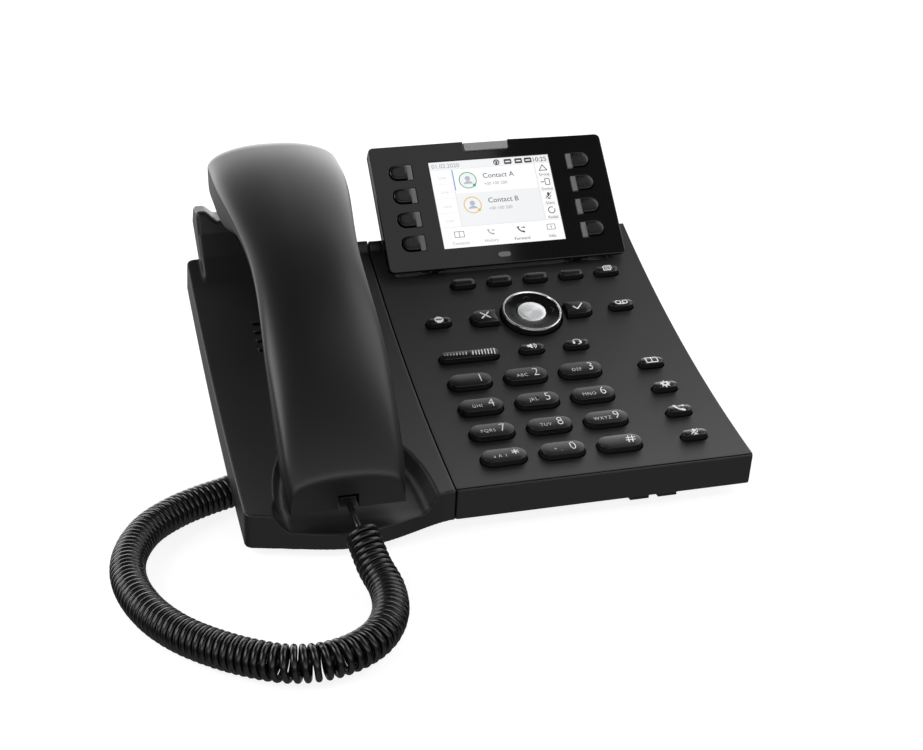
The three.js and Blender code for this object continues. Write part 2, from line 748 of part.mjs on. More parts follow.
// A plate of the display's outline, in its own frame: u across, r up the slant, z off the face.
function displayOutline(inset, radius) {
  const shape = new THREE.Shape();
  const [l, r] = [DISPLAY.left + inset, DISPLAY.right - inset];
  const [b, t] = [inset, DISPLAY.height - inset];
  shape.absarc(r - radius, b + radius, radius, -Math.PI / 2, 0, false);
  shape.absarc(r - radius, t - radius, radius, 0, Math.PI / 2, false);
  shape.absarc(l + radius, t - radius, radius, Math.PI / 2, Math.PI, false);
  shape.absarc(l + radius, b + radius, radius, Math.PI, 1.5 * Math.PI, false);
  return shape;
}

// A line key is round on its outer side: side is -1 in the left column and 1 in the right one.
function lineKeyOutline(side, grow = 0) {
  const radius = LINE_KEY.height / 2 + grow;
  const flat = LINE_KEY.width - LINE_KEY.height / 2;
  const shape = new THREE.Shape();
  if (side > 0) {
    shape.moveTo(-grow, -radius);
    shape.absarc(flat, 0, radius, -Math.PI / 2, Math.PI / 2, false);
    shape.lineTo(-grow, radius);
  } else {
    shape.moveTo(grow, radius);
    shape.absarc(-flat, 0, radius, Math.PI / 2, 1.5 * Math.PI, false);
    shape.lineTo(grow, -radius);
  }
  shape.closePath();
  return shape;
}

const lineKeys = [-1, 1].flatMap((side) =>
  Array.from({ length: LINE_KEY.rows }, (_, row) => ({
    name: (side < 0 ? "line_key_left_" : "line_key_right_") + (row + 1),
    side,
    u: side < 0
      ? DISPLAY.left + LINE_KEY.inset + LINE_KEY.width
      : DISPLAY.right - LINE_KEY.inset - LINE_KEY.width,
    r: LINE_KEY.topRow - row * LINE_KEY.pitch,
  })),
);

for (const { name, side, u, r } of lineKeys) {
  const cap = toSolid(extruded(lineKeyOutline(side), -2.6, 1.4));
  const flange = toSolid(extruded(lineKeyOutline(side, 0.8), -3, -2.2));
  const key = addPiece(display, name, cap.add(flange), BLACK);
  key.position.set(u, r, 0);
}

const lineOpenings = lineKeys.map(({ side, u, r }) => {
  const window = LINE_KEY.led + 0.4;
  const hole = toSolid(extruded(lineKeyOutline(side, KEY.play), -3, 2));
  const led = side < 0
    ? box(-0.1, window, -LINE_KEY.height / 2, LINE_KEY.height / 2, -3, 2)
    : box(-window, 0.1, -LINE_KEY.height / 2, LINE_KEY.height / 2, -3, 2);
  const place = new THREE.Matrix4().makeTranslation(u, r, 0);
  return toSolid(toGeometry(hole.add(toSolid(led))), place);
});

const lightOpening = toSolid(
  box(
    LIGHT.u - LIGHT.width / 2 - GAP,
    LIGHT.u + LIGHT.width / 2 + GAP,
    DISPLAY.height - LIGHT.height - GAP,
    DISPLAY.height + 2,
    -7.3,
    2,
  ),
);
const { left: SCREEN_LEFT, bottom: SCREEN_BOTTOM } = SCREEN;
const [SCREEN_RIGHT, SCREEN_TOP] = [SCREEN_LEFT + SCREEN.width, SCREEN_BOTTOM + SCREEN.height];

function displayBezel() {
  const outer = toSolid(extruded(displayOutline(0, 2.4), -DISPLAY.bezel, 0, 4));
  const inside = toSolid(extruded(displayOutline(1.6, 1.2), -DISPLAY.bezel - 1, -DISPLAY.plate, 4));
  const window = toSolid(box(SCREEN_LEFT, SCREEN_RIGHT, SCREEN_BOTTOM, SCREEN_TOP, -4, 2));
  const underside = [
    [-1, -1.5],
    [4, -4],
    [4, -9],
    [-1, -9],
  ];
  const chamfer = sideSolid(underside, DISPLAY.left - 1, DISPLAY.right + 1);
  const bezel = cut(outer, [inside, chamfer, window, lightOpening, ...lineOpenings]);
  addPiece(display, "display_bezel", bezel, GLOSS);
}
displayBezel();

function displayRearCover() {
  const top = -DISPLAY.bezel - GAP;
  const { height, thickness, left, right } = DISPLAY;
  const [x0, x1] = [left + COVER.inset, right - COVER.inset];
  const outer = [
    [4.2, top],
    [4.5, top - 0.8],
    [28, -thickness],
    [height - 5, -thickness],
    [height - 1, -thickness + 3],
    [height - 1, top],
  ];
  const inner = [
    [7, top + 1],
    [7, top - 0.2],
    [28.5, WALL - thickness],
    [height - 6, WALL - thickness],
    [height - 3, -thickness + 4],
    [height - 3, top + 1],
  ];
  const tub = sideSolid(outer, x0, x1);
  const plate = toSolid(extruded(displayOutline(0, 2.4), top - COVER.plate, top, 4));
  const belowPlate = toSolid(box(left - 1, right + 1, -1, COVER.plateFrom, top - 3, top + 1));
  const shell = tub.add(plate.subtract(belowPlate)).subtract(sideSolid(inner, x0 + WALL, x1 - WALL));
  // A slot takes each bearing ear, and a pin crosses it.
  const toDisplay = displayFrame.clone().invert();
  const slots = hingeEars.map((u) =>
    toSolid(box(u - 0.6, u + HINGE.width + 0.6, -1, 12, -20, top + 1)),
  );
  const cheeks = hingeEars.flatMap((u) =>
    [u - 3.6, u + HINGE.width + 0.6].map((x) => toSolid(box(x, x + 3, 2, 8.5, -7.4, -2.1))),
  );
  const pins = hingeEars.map((u) => {
    const pin = hingeCylinder(u - 2, u + HINGE.width + 2, HINGE.pin, 16);
    return toSolid(toGeometry(pin), toDisplay);
  });
  const cover = union([cut(shell, [...slots, lightOpening]), ...cheeks, ...pins]);
  addPiece(display, "display_rear_cover", cover, BLACK);
}
displayRearCover();

function lcdModule() {
  const play = 0.25;
  const glass = toSolid(
    box(SCREEN_LEFT + play, SCREEN_RIGHT - play, SCREEN_BOTTOM + play, SCREEN_TOP - play, -4, -0.3),
  );
  const frame = toSolid(
    box(SCREEN_LEFT - 4, SCREEN_RIGHT + 4, SCREEN_BOTTOM + 2, SCREEN_TOP + 3, -4.6, -2.1),
  );
  addPiece(display, "lcd_module", glass.add(frame), { color: 0xe8eaec, roughness: 0.3 });
}
lcdModule();

function messageLight() {
  const shape = new THREE.Shape();
  const half = LIGHT.width / 2;
  const bottom = DISPLAY.height - LIGHT.height;
  shape.moveTo(-half, DISPLAY.height);
  shape.lineTo(-half + 0.2, bottom + 1.4);
  shape.quadraticCurveTo(-half + 0.4, bottom, -half + 2, bottom);
  shape.lineTo(half - 2, bottom);
  shape.quadraticCurveTo(half - 0.4, bottom, half - 0.2, bottom + 1.4);
  shape.lineTo(half, DISPLAY.height);
  shape.closePath();
  const light = addPiece(display, "message_light", extruded(shape, -7, 0, 3), {
    color: 0x8d8e8e,
    roughness: 0.5,
  });
  light.position.x = LIGHT.u;
}
messageLight();

// ---- cord ---------------------------------------------------------------------------------

// The handset plug sits in the handset's notch, and the base plug in a jack under the base.
function plugs() {
  const { width, height, length } = PLUG;
  const half = width / 2;
  const atHandset = box(-half, half, 0, length, 0, height);
  const handsetPlug = addPiece(handsetBody, "handset_plug", atHandset, BLACK);
  handsetPlug.position.set(HANDSET.x, HANDSET.mouthY + 0.6, HANDSET.mouthZ + 0.4);
  const atBase = box(0, length, -half, half, -height / 2, height / 2);
  addPiece(phone, "base_plug", atBase, BLACK).position.set(JACK.x - 1, JACK.y, JACK.z);
}
plugs();

function tube(name, route, radius, sides, steps) {
  const path = new THREE.CatmullRomCurve3(route.map((point) => new THREE.Vector3(...point)));
  const ring = new THREE.Shape(
    Array.from({ length: sides }, (_, i) => {
      const angle = (2 * Math.PI * i) / sides;
      return new THREE.Vector2(radius * Math.cos(angle), radius * Math.sin(angle));
    }),
  );
  const options = { steps, extrudePath: path, bevelEnabled: false };
  addPiece(root, name, new THREE.ExtrudeGeometry(ring, options), BLACK);
}
tube("coiled_cord", COIL_ROUTE, CORD.coilRadius, 10, 48);
tube("cord_tail_base", BASE_TAIL_ROUTE, CORD.wireRadius, 8, 6);
tube("cord_tail_handset", HANDSET_TAIL_ROUTE, CORD.wireRadius, 8, 4);

// ---- origin -------------------------------------------------------------------------------

const bounds = new THREE.Box3().setFromObject(phone, true);
const middle = bounds.getCenter(new THREE.Vector3());
phone.position.set(-middle.x, -middle.y, -bounds.min.z);
if (Math.abs(bounds.min.z - DESK_Z) > 0.01) throw new Error("the phone doesn't stand on the desk");

export default root;
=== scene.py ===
"""Desk IP phone: the looks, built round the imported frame.

Lengths are millimetres until a mesh is made. A place on the phone is given in one of three ways:
  deck     (u, s, h): u to the right, s back along the curved deck, h off it
  display  (u, r, z): u to the right, r up the slanted face, z off it
  level    (x, y, z): square to the desk, from the deck's front top edge at its seam
"""

import functools
import json
import math

import bmesh
import bpy
import numpy as np
import openvdb
from mathutils import Matrix, Vector
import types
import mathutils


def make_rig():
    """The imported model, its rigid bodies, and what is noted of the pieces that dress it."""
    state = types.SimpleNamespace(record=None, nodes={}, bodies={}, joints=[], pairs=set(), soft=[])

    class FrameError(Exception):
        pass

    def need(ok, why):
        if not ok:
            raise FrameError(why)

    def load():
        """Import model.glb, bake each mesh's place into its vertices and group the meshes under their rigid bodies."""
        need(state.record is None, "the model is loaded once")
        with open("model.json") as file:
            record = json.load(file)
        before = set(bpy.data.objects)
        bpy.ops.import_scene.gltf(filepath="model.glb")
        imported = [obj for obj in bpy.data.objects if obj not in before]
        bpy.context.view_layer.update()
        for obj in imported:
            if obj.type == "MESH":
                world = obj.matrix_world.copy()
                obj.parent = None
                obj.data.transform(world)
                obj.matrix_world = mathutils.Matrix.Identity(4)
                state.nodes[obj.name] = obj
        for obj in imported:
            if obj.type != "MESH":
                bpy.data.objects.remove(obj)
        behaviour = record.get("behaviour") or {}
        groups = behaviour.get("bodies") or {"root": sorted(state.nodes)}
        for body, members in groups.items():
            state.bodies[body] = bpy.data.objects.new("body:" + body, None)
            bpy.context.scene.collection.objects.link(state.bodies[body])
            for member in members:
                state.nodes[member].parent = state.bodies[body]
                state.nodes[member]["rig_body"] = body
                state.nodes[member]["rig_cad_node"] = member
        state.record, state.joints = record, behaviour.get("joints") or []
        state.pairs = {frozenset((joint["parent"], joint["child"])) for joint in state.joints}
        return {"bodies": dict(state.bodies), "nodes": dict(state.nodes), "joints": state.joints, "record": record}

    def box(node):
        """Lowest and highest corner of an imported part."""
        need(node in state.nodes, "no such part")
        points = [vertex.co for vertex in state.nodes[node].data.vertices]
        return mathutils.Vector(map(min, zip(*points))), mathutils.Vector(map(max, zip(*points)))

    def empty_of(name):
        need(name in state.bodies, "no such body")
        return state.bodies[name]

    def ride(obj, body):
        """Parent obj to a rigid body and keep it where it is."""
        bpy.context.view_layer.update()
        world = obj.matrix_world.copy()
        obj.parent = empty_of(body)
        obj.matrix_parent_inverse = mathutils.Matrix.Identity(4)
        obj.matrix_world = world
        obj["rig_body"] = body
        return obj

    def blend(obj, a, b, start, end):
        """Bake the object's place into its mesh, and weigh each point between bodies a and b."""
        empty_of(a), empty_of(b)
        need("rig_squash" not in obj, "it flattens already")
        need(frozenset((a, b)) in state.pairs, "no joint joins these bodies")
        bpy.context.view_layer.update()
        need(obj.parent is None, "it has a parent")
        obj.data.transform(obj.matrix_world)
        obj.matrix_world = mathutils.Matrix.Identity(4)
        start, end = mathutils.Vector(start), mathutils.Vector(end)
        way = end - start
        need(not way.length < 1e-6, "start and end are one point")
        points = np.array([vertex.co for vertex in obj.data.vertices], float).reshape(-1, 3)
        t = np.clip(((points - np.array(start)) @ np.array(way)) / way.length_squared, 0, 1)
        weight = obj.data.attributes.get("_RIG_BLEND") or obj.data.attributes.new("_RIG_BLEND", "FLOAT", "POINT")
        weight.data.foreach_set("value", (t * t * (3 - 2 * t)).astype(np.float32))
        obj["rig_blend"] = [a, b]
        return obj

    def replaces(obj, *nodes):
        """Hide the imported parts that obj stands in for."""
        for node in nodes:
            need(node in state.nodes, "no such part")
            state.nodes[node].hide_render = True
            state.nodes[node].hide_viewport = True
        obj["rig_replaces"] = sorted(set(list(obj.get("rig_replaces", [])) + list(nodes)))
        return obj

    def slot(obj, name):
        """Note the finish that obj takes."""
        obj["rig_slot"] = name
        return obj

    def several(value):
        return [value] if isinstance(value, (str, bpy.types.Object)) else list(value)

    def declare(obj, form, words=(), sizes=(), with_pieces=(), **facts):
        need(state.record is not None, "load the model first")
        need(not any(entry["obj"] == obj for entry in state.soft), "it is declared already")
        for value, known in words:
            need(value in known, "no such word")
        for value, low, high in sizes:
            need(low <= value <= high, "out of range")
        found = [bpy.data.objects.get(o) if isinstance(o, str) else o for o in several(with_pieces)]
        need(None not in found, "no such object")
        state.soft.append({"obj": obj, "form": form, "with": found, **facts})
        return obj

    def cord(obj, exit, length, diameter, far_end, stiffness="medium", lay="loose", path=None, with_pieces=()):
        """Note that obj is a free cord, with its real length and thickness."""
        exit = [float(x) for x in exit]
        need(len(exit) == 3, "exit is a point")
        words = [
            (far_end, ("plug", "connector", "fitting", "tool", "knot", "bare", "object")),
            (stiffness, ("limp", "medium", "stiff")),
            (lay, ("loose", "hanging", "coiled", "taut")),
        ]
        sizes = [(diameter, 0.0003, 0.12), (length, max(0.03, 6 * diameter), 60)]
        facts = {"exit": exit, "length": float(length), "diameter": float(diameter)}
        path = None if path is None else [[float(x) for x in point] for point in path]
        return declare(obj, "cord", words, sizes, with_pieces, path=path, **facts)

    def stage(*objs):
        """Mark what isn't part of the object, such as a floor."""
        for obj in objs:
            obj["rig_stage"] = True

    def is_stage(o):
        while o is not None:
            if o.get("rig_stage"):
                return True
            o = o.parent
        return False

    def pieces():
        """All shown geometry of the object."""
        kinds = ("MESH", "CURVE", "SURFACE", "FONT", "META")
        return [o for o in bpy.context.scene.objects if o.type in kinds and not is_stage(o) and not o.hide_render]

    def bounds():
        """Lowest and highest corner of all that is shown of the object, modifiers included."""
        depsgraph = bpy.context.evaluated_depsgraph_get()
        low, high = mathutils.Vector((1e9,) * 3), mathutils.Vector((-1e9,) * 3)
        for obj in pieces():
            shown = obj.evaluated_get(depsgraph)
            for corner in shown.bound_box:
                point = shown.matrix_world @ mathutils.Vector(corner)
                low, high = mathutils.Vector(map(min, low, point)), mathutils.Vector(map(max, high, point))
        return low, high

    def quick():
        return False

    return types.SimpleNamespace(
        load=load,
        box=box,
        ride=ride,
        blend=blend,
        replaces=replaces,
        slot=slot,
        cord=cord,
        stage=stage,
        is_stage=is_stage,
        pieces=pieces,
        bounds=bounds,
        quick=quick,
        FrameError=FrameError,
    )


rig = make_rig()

MM = 0.001

SLOPE = math.radians(9.924)  # of the deck at its front edge
RADIUS = 563.0  # of the deck's arc
LENGTH = 163.8  # of the deck, along its arc
LEFT, RIGHT = -82.0, 123.9  # the base's sides, measured from its seam
SEAM = 0.15  # how far each half of the base stays from the seam
FOOT = -14.1  # the lower edge of the base's walls, off the deck
DESK = -18.2  # in the level frame

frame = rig.load()
NODES = frame["nodes"]
cad_low, cad_high = (list(corner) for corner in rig.bounds())

_low, _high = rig.box("deck_housing")
ORIGIN = np.array([_high.x / MM - RIGHT, _low.y / MM, -DESK])  # of the level frame


# ---- frames of reference ------------------------------------------------------------------

def deck_angle(s):
    return SLOPE + s / RADIUS


def from_deck(points):
    """(u, s, h) to (x, y, z)."""
    u, s, h = np.asarray(points, float).reshape(-1, 3).T
    a = deck_angle(s)
    y = RADIUS * (np.sin(a) - math.sin(SLOPE)) - h * np.sin(a)
    z = RADIUS * (math.cos(SLOPE) - np.cos(a)) + h * np.cos(a)
    return np.stack([u, y, z], 1)


def tilted(points, origin, angle):
    """Points in a frame at origin, whose second axis rises by angle."""
    x, y, z = np.asarray(points, float).reshape(-1, 3).T
    c, s = math.cos(angle), math.sin(angle)
    return np.stack([x, y * c - z * s, y * s + z * c], 1) + np.asarray(origin, float)


def on_deck(u, s):
    """A function that takes points in the deck's plane at (u, s) to the level frame."""
    origin = from_deck([[u, s, 0]])[0]
    return lambda points: tilted(points, origin, deck_angle(s))


DISPLAY_TILT = math.radians(47.8)
DISPLAY_ORIGIN = from_deck([[0, 140.5, 3.3]])[0]


def from_display(points):
    return tilted(points, DISPLAY_ORIGIN, DISPLAY_TILT)


def to_frame(points):
    """Level millimetres to the frame's metres."""
    return (np.asarray(points, float).reshape(-1, 3) + ORIGIN) * MM


def from_level(points):
    return points


def from_frame(points):
    """The frame's own millimetres to level ones."""
    return points - ORIGIN


# ---- shader nodes -------------------------------------------------------------------------


def adjust(tree, made, **values):
    """Set a node's inputs and properties. An input whose value is a socket is linked to it."""
    for key, value in values.items():
        socket = made.inputs.get(key.replace("_", " "))
        if socket is None:
            setattr(made, key, value)
        elif isinstance(value, bpy.types.NodeSocket):
            tree.links.new(value, socket)
        else:
            socket.default_value = value
    return made


def node(tree, kind, **values):
    return adjust(tree, tree.nodes.new("ShaderNode" + kind), **values)


def colour_mix(tree, factor, first, second):
    """The colour between two, which are given as colours or as sockets."""
    mix = node(tree, "Mix", data_type="RGBA", Factor=factor)
    ends = [socket for socket in mix.inputs if socket.type == "RGBA"]
    for socket, end in zip(ends, (first, second)):
        if isinstance(end, bpy.types.NodeSocket):
            tree.links.new(end, socket)
        else:
            socket.default_value = end
    return next(socket for socket in mix.outputs if socket.type == "RGBA")


def new_material(name, colour, roughness, metallic=0.0):
    material = bpy.data.materials.new(name)
    material.use_nodes = True
    tree = material.node_tree
    shader = tree.nodes["Principled BSDF"]
    adjust(tree, shader, Base_Color=(*colour, 1), Roughness=roughness, Metallic=metallic)
    return material, tree, shader


# ---- camera and light ---------------------------------------------------------------------

LENS, SENSOR = 65.74, 36.0
CAMERA_PLACE = (-0.17435, -0.6481, 0.3051)
LOOKS_DOWN, LOOKS_RIGHT = 22.275, 15.429  # degrees


def new_object(name, data):
    obj = bpy.data.objects.new(name, data)
    bpy.context.scene.collection.objects.link(obj)
    return obj


def camera():
    data = bpy.data.cameras.new("camera")
    data.lens, data.sensor_width = LENS, SENSOR
    data.clip_start, data.clip_end = 0.05, 20.0
    obj = new_object("camera", data)
    obj.location = CAMERA_PLACE
    obj.rotation_euler = (math.radians(90 - LOOKS_DOWN), 0, math.radians(-LOOKS_RIGHT))
    bpy.context.scene.camera = obj


def area_light(name, place, size, radiance, turn=None):
    """A soft panel of that brightness, where 1 shows as white.

    It faces the origin, or straight down where turn gives its angle about the vertical.
    """
    data = bpy.data.lights.new(name, "AREA")
    data.shape = "RECTANGLE"
    data.size, data.size_y = size
    data.energy = radiance * math.pi * size[0] * size[1]
    obj = new_object(name, data)
    obj.location = place
    if turn is None:
        obj.rotation_euler = (-Vector(place)).to_track_quat("-Z", "Y").to_euler()
    else:
        obj.rotation_euler = (0, 0, math.radians(turn))


# The brightness of the studio's walls, as (height, brightness), height from -1 below to 1 above.
BACK_WALL = [
    (-1, 0.12), (-0.3, 0.3), (0, 3.0), (0.25, 3.2), (0.45, 2.1), (0.62, 0.62), (0.82, 0.12), (1, 0.03),
]
FRONT_WALL = [
    (-1, 0.3), (-0.5, 0.45), (-0.2, 0.14), (0.08, 0.4), (0.2, 3.0),
    (0.32, 1.0), (0.55, 0.7), (0.7, 0.2), (0.85, 0.05), (1, 0.03),
]
BLUER = 1.01  # how much bluer than grey the walls are
FLOOR_REACH = 4
BACKDROP_RADIUS, BACKDROP_HEIGHT, BACKDROP_SIDES = 3.8, 4, 48


def wall(tree, levels, height):
    ramp = node(tree, "ValToRGB", Fac=height)
    ramp.color_ramp.interpolation = "EASE"
    elements = ramp.color_ramp.elements
    while len(elements) < len(levels):
        elements.new(0.5)
    for element, (at, level) in zip(elements, levels):
        element.position = (at + 1) / 2
        element.color = (level, level, level * BLUER, 1)
    return ramp.outputs["Color"]


def studio():
    """Dim walls that the black plastic mirrors, and panels to its sides that light its print."""
    scene = bpy.context.scene
    scene.view_settings.view_transform = "Standard"
    scene.world = bpy.data.worlds.new("studio")
    scene.world.use_nodes = True
    tree = scene.world.node_tree
    direction = node(tree, "TexCoord").outputs["Generated"]
    axes = node(tree, "SeparateXYZ", Vector=direction).outputs
    height = node(tree, "MapRange", From_Min=-1, Value=axes["Z"]).outputs["Result"]
    depth = node(tree, "MapRange", From_Min=-0.25, From_Max=0.25, Value=axes["Y"])
    ends = [wall(tree, levels, height) for levels in (FRONT_WALL, BACK_WALL)]
    colour = colour_mix(tree, depth.outputs["Result"], *ends)
    # The two sides of the studio are dark.
    aside = node(tree, "Math", operation="ABSOLUTE", Value=axes["X"]).outputs["Value"]
    fall = node(tree, "MapRange", From_Min=0.5, From_Max=0.88, To_Min=1.0, To_Max=0.12, Value=aside)
    adjust(tree, tree.nodes["Background"], Color=colour, Strength=fall.outputs["Result"])

    area_light("left_panel", (-1.6, -0.2, 1.3), (1.1, 1.1), 4.8)
    area_light("right_panel", (1.6, -0.1, 1.7), (1.5, 1.5), 2.2)
    area_light("back_panel", (0.62, 1.05, 1.0), (0.9, 1.0), 0.8)
    # The left half of the glossy display mirrors this card, whose right edge lies over the middle.
    area_light("display_card", (0.233, -0.31, 1.0), (0.19, 0.36), 0.75, turn=10)

    corners = [(x * FLOOR_REACH, y * FLOOR_REACH, 0) for x, y in ((-1, -1), (1, -1), (1, 1), (-1, 1))]
    stage("floor", corners, [(0, 1, 2, 3)], 0.86)
    # A pale wall stands round the floor, and the light comes through it.
    rings = [[(x, y, z) for x, y in circle(BACKDROP_RADIUS, BACKDROP_SIDES)] for z in (0, BACKDROP_HEIGHT)]
    stage("backdrop", *loft(rings), 1.0).visible_shadow = False


def stage(name, points, faces, glow):
    """A pale surface round the object, which the object's own plastic doesn't mirror."""
    mesh = bpy.data.meshes.new(name)
    mesh.from_pydata(points, [], faces)
    obj = new_object(name, mesh)
    material, tree, shader = new_material(name + "_paper", (0.3, 0.3, 0.3), 0.9)
    adjust(tree, shader, Specular_IOR_Level=0.1, Emission_Color=(1, 1, 1, 1), Emission_Strength=glow)
    mesh.materials.append(material)
    obj.visible_glossy = False
    obj.visible_diffuse = False
    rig.stage(obj)
    return obj


# ---- materials ----------------------------------------------------------------------------


def moulded(name, colour, roughness, grain=2600.0, depth=0.02, sweep=0.2, edge=0.0, shine=0.5):
    """Moulded plastic: fine tool grain, and slow changes of colour and roughness.

    grain is the number of grains in a metre, depth is theirs in mm, and sweep is how much the
    colour and roughness wander. edge rounds sharp edges by that many mm in shading only.
    """
    material, tree, shader = new_material(name, colour, roughness)
    place = node(tree, "TexCoord").outputs["Object"]
    slow = node(tree, "TexNoise", Scale=22.0, Detail=3.0, Vector=place).outputs["Fac"]
    less, more = 1 - sweep / 2, 1 + sweep / 2
    tone = node(tree, "MapRange", To_Min=roughness * less, To_Max=roughness * more, Value=slow)
    darker, lighter = ([*(c * share for c in colour), 1] for share in (less, more))
    fine = node(tree, "TexNoise", Scale=grain, Detail=2.0, Vector=place).outputs["Fac"]
    bump = node(tree, "Bump", Strength=0.35, Distance=depth * MM, Height=fine)
    if edge:
        bevel = node(tree, "Bevel", samples=6, Radius=edge * MM)
        adjust(tree, bump, Normal=bevel.outputs["Normal"])
    adjust(
        tree, shader, Base_Color=colour_mix(tree, slow, darker, lighter), Specular_IOR_Level=shine,
        Roughness=tone.outputs["Result"], Normal=bump.outputs["Normal"],
    )
    return material


def spun_metal(name, colour, roughness, lines, metallic=1.0):
    """Metal turned on a lathe: fine rings, which spread the light across them."""
    material, tree, shader = new_material(name, colour, roughness, metallic)
    tangent = node(tree, "Tangent", direction_type="RADIAL", axis="Z").outputs["Tangent"]
    place = node(tree, "TexCoord").outputs["Object"]
    rings = node(tree, "TexWave", wave_type="RINGS", rings_direction="Z", Vector=place)
    adjust(tree, rings, Scale=lines, Distortion=1.5)
    bump = node(tree, "Bump", Strength=0.25, Distance=0.01 * MM, Height=rings.outputs["Fac"])
    adjust(tree, shader, Anisotropic=0.75, Tangent=tangent, Normal=bump.outputs["Normal"])
    return material


def lit(name, colour):
    """A part of the display's picture, which shines with its own colour."""
    material, tree, shader = new_material(name, (0.02, 0.02, 0.02), 0.15)
    adjust(tree, shader, Emission_Color=(*colour, 1), Emission_Strength=1.0)
    return material


SHELL = moulded("shell_satin", (0.0062, 0.0062, 0.0066), 0.46, sweep=0.12)
HANDSET = moulded("handset_satin", (0.0058, 0.0058, 0.0062), 0.36, sweep=0.1)
KEY = moulded("key_satin", (0.006, 0.006, 0.0063), 0.24, depth=0.01, sweep=0.1)
UNDERSIDE = moulded("underside_grain", (0.009, 0.009, 0.009), 0.6, grain=1500, depth=0.05, edge=0.4)
BEZEL = moulded("bezel_gloss", (0.006, 0.006, 0.0063), 0.07, depth=0.001, sweep=0.1)
GLOSS = moulded("gloss_black", (0.005, 0.005, 0.005), 0.14, depth=0.002, sweep=0.1, shine=0.2)
RUBBER = moulded("foot_rubber", (0.009, 0.009, 0.009), 0.8, grain=1200, depth=0.06, edge=0.5)
JACKET = moulded("cord_jacket", (0.0045, 0.0045, 0.0048), 0.22, grain=900, depth=0.01)
PLUG = moulded("plug_moulding", (0.01, 0.01, 0.011), 0.2, edge=0.2)
BOARD = moulded("board_mask", (0.012, 0.07, 0.03), 0.4, grain=700, depth=0.03, edge=0.1)
# Near black and matte: the own colour of the dot on the 5 and of the rocker's middle line, and painted shade on the
# cord notch's walls.
DARK_MARK_AND_SHADE = moulded("dark_recess", (0.002, 0.002, 0.002), 0.7)
LAMP = moulded("lamp_lens", (0.19, 0.19, 0.192), 0.6, grain=1800, depth=0.01, sweep=0.1, shine=0.2)
LIGHT = moulded("message_lens", (0.33, 0.33, 0.335), 0.4, grain=1800, depth=0.01, sweep=0.2)
PRINT = moulded("white_print", (0.95, 0.95, 0.95), 0.55, grain=4000, depth=0.004, sweep=0.06)
ENGRAVED = moulded("engraved_mark", (0.002, 0.002, 0.002), 0.6)
CHROME, _, _ = new_material("chrome_ring", (0.86, 0.87, 0.89), 0.16, metallic=1.0)
BRUSHED = spun_metal("turned_aluminium", (0.93, 0.94, 0.95), 0.36, 900.0, metallic=0.7)
STEEL = spun_metal("stamped_steel", (0.5, 0.5, 0.52), 0.4, 500.0)


# ---- meshes -------------------------------------------------------------------------------


class Build:
    """Shapes gathered into one mesh. It unpacks as (points, faces), as every shape here does."""

    def __init__(self, *shapes):
        self.parts, self.faces, self.indices = [], [], []
        self.count = 0
        for shape in shapes:
            self.add(shape)

    def add(self, shape, index=0):
        """Add a shape, whose faces take the material of that index."""
        points, faces = shape
        self.parts.append(np.asarray(points, float).reshape(-1, 3))
        self.faces += [tuple(int(i) + self.count for i in face) for face in faces]
        self.indices += [index] * len(faces)
        self.count += len(self.parts[-1])

    def __iter__(self):
        return iter((np.concatenate(self.parts), self.faces))


def piece(name, shape, place, materials, body, replaces=(), slot=None, sharp=None):
    """A mesh piece, which rides on a body, if one is given.

    place takes the shape's points to level ones, and sharp is the angle, in degrees, of its hard
    edges.
    """
    points, faces = shape
    mesh = bpy.data.meshes.new(name)
    mesh.from_pydata(to_frame(place(points)), [], faces)
    for material in materials:
        mesh.materials.append(material)
    if isinstance(shape, Build):
        mesh.polygons.foreach_set("material_index", np.asarray(shape.indices, np.int32))
    mesh.polygons.foreach_set("use_smooth", np.ones(len(mesh.polygons), bool))
    mesh.update()
    if sharp is not None:
        mesh.set_sharp_from_angle(angle=math.radians(sharp))
    obj = new_object(name, mesh)
    if body:
        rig.ride(obj, body)
    if replaces:
        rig.replaces(obj, *replaces)
    if slot:
        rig.slot(obj, slot)
    return obj


def loft(rings, close_start=False, close_end=False):
    """(points, faces) of a skin over rings of the same number of points."""
    rings = np.asarray(rings, float)
    n, m = rings.shape[:2]
    points = rings.reshape(-1, 3)
    faces = []
    for i in range(n - 1):
        for j in range(m):
            k = (j + 1) % m
            faces.append((i * m + j, i * m + k, (i + 1) * m + k, (i + 1) * m + j))
    if close_start:
        faces.append(tuple(range(m - 1, -1, -1)))
    if close_end:
        faces.append(tuple((n - 1) * m + j for j in range(m)))
    return points, faces


def evaluated(curve):
    """(points, faces) of a curve or a text, whose data is then removed."""
    obj = new_object("curve", curve)
    graph = bpy.context.evaluated_depsgraph_get()
    mesh = bpy.data.meshes.new_from_object(obj.evaluated_get(graph))
    points = np.array([v.co for v in mesh.vertices], float).reshape(-1, 3)
    faces = [tuple(p.vertices) for p in mesh.polygons]
    bpy.data.objects.remove(obj)
    bpy.data.curves.remove(curve)
    bpy.data.meshes.remove(mesh)
    return points, faces


def plate(outlines, bottom, top, bevel=0.3, resolution=2):
    """(points, faces) of a flat plate with rounded edges: its rim's outline, then its holes'."""
    curve = bpy.data.curves.new("plate", "CURVE")
    curve.dimensions, curve.fill_mode = "2D", "BOTH"
    curve.extrude = (top - bottom) / 2 - bevel
    curve.bevel_depth, curve.bevel_resolution, curve.offset = bevel, resolution, -bevel
    for outline in outlines:
        spline = curve.splines.new("POLY")
        spline.points.add(len(outline) - 1)
        for point, (x, y) in zip(spline.points, outline):
            point.co = (x, y, 0, 1)
        spline.use_cyclic_u = True
    points, faces = evaluated(curve)
    return points + (0, 0, (top + bottom) / 2), faces


def to_bmesh(shape):
    """A bmesh of the shape, without its repeated faces."""
    points, faces = shape
    mesh = bmesh.new()
    made = [mesh.verts.new(p) for p in points]
    for face in faces:
        try:
            mesh.faces.new([made[i] for i in face])
        except ValueError:
            pass
    return mesh


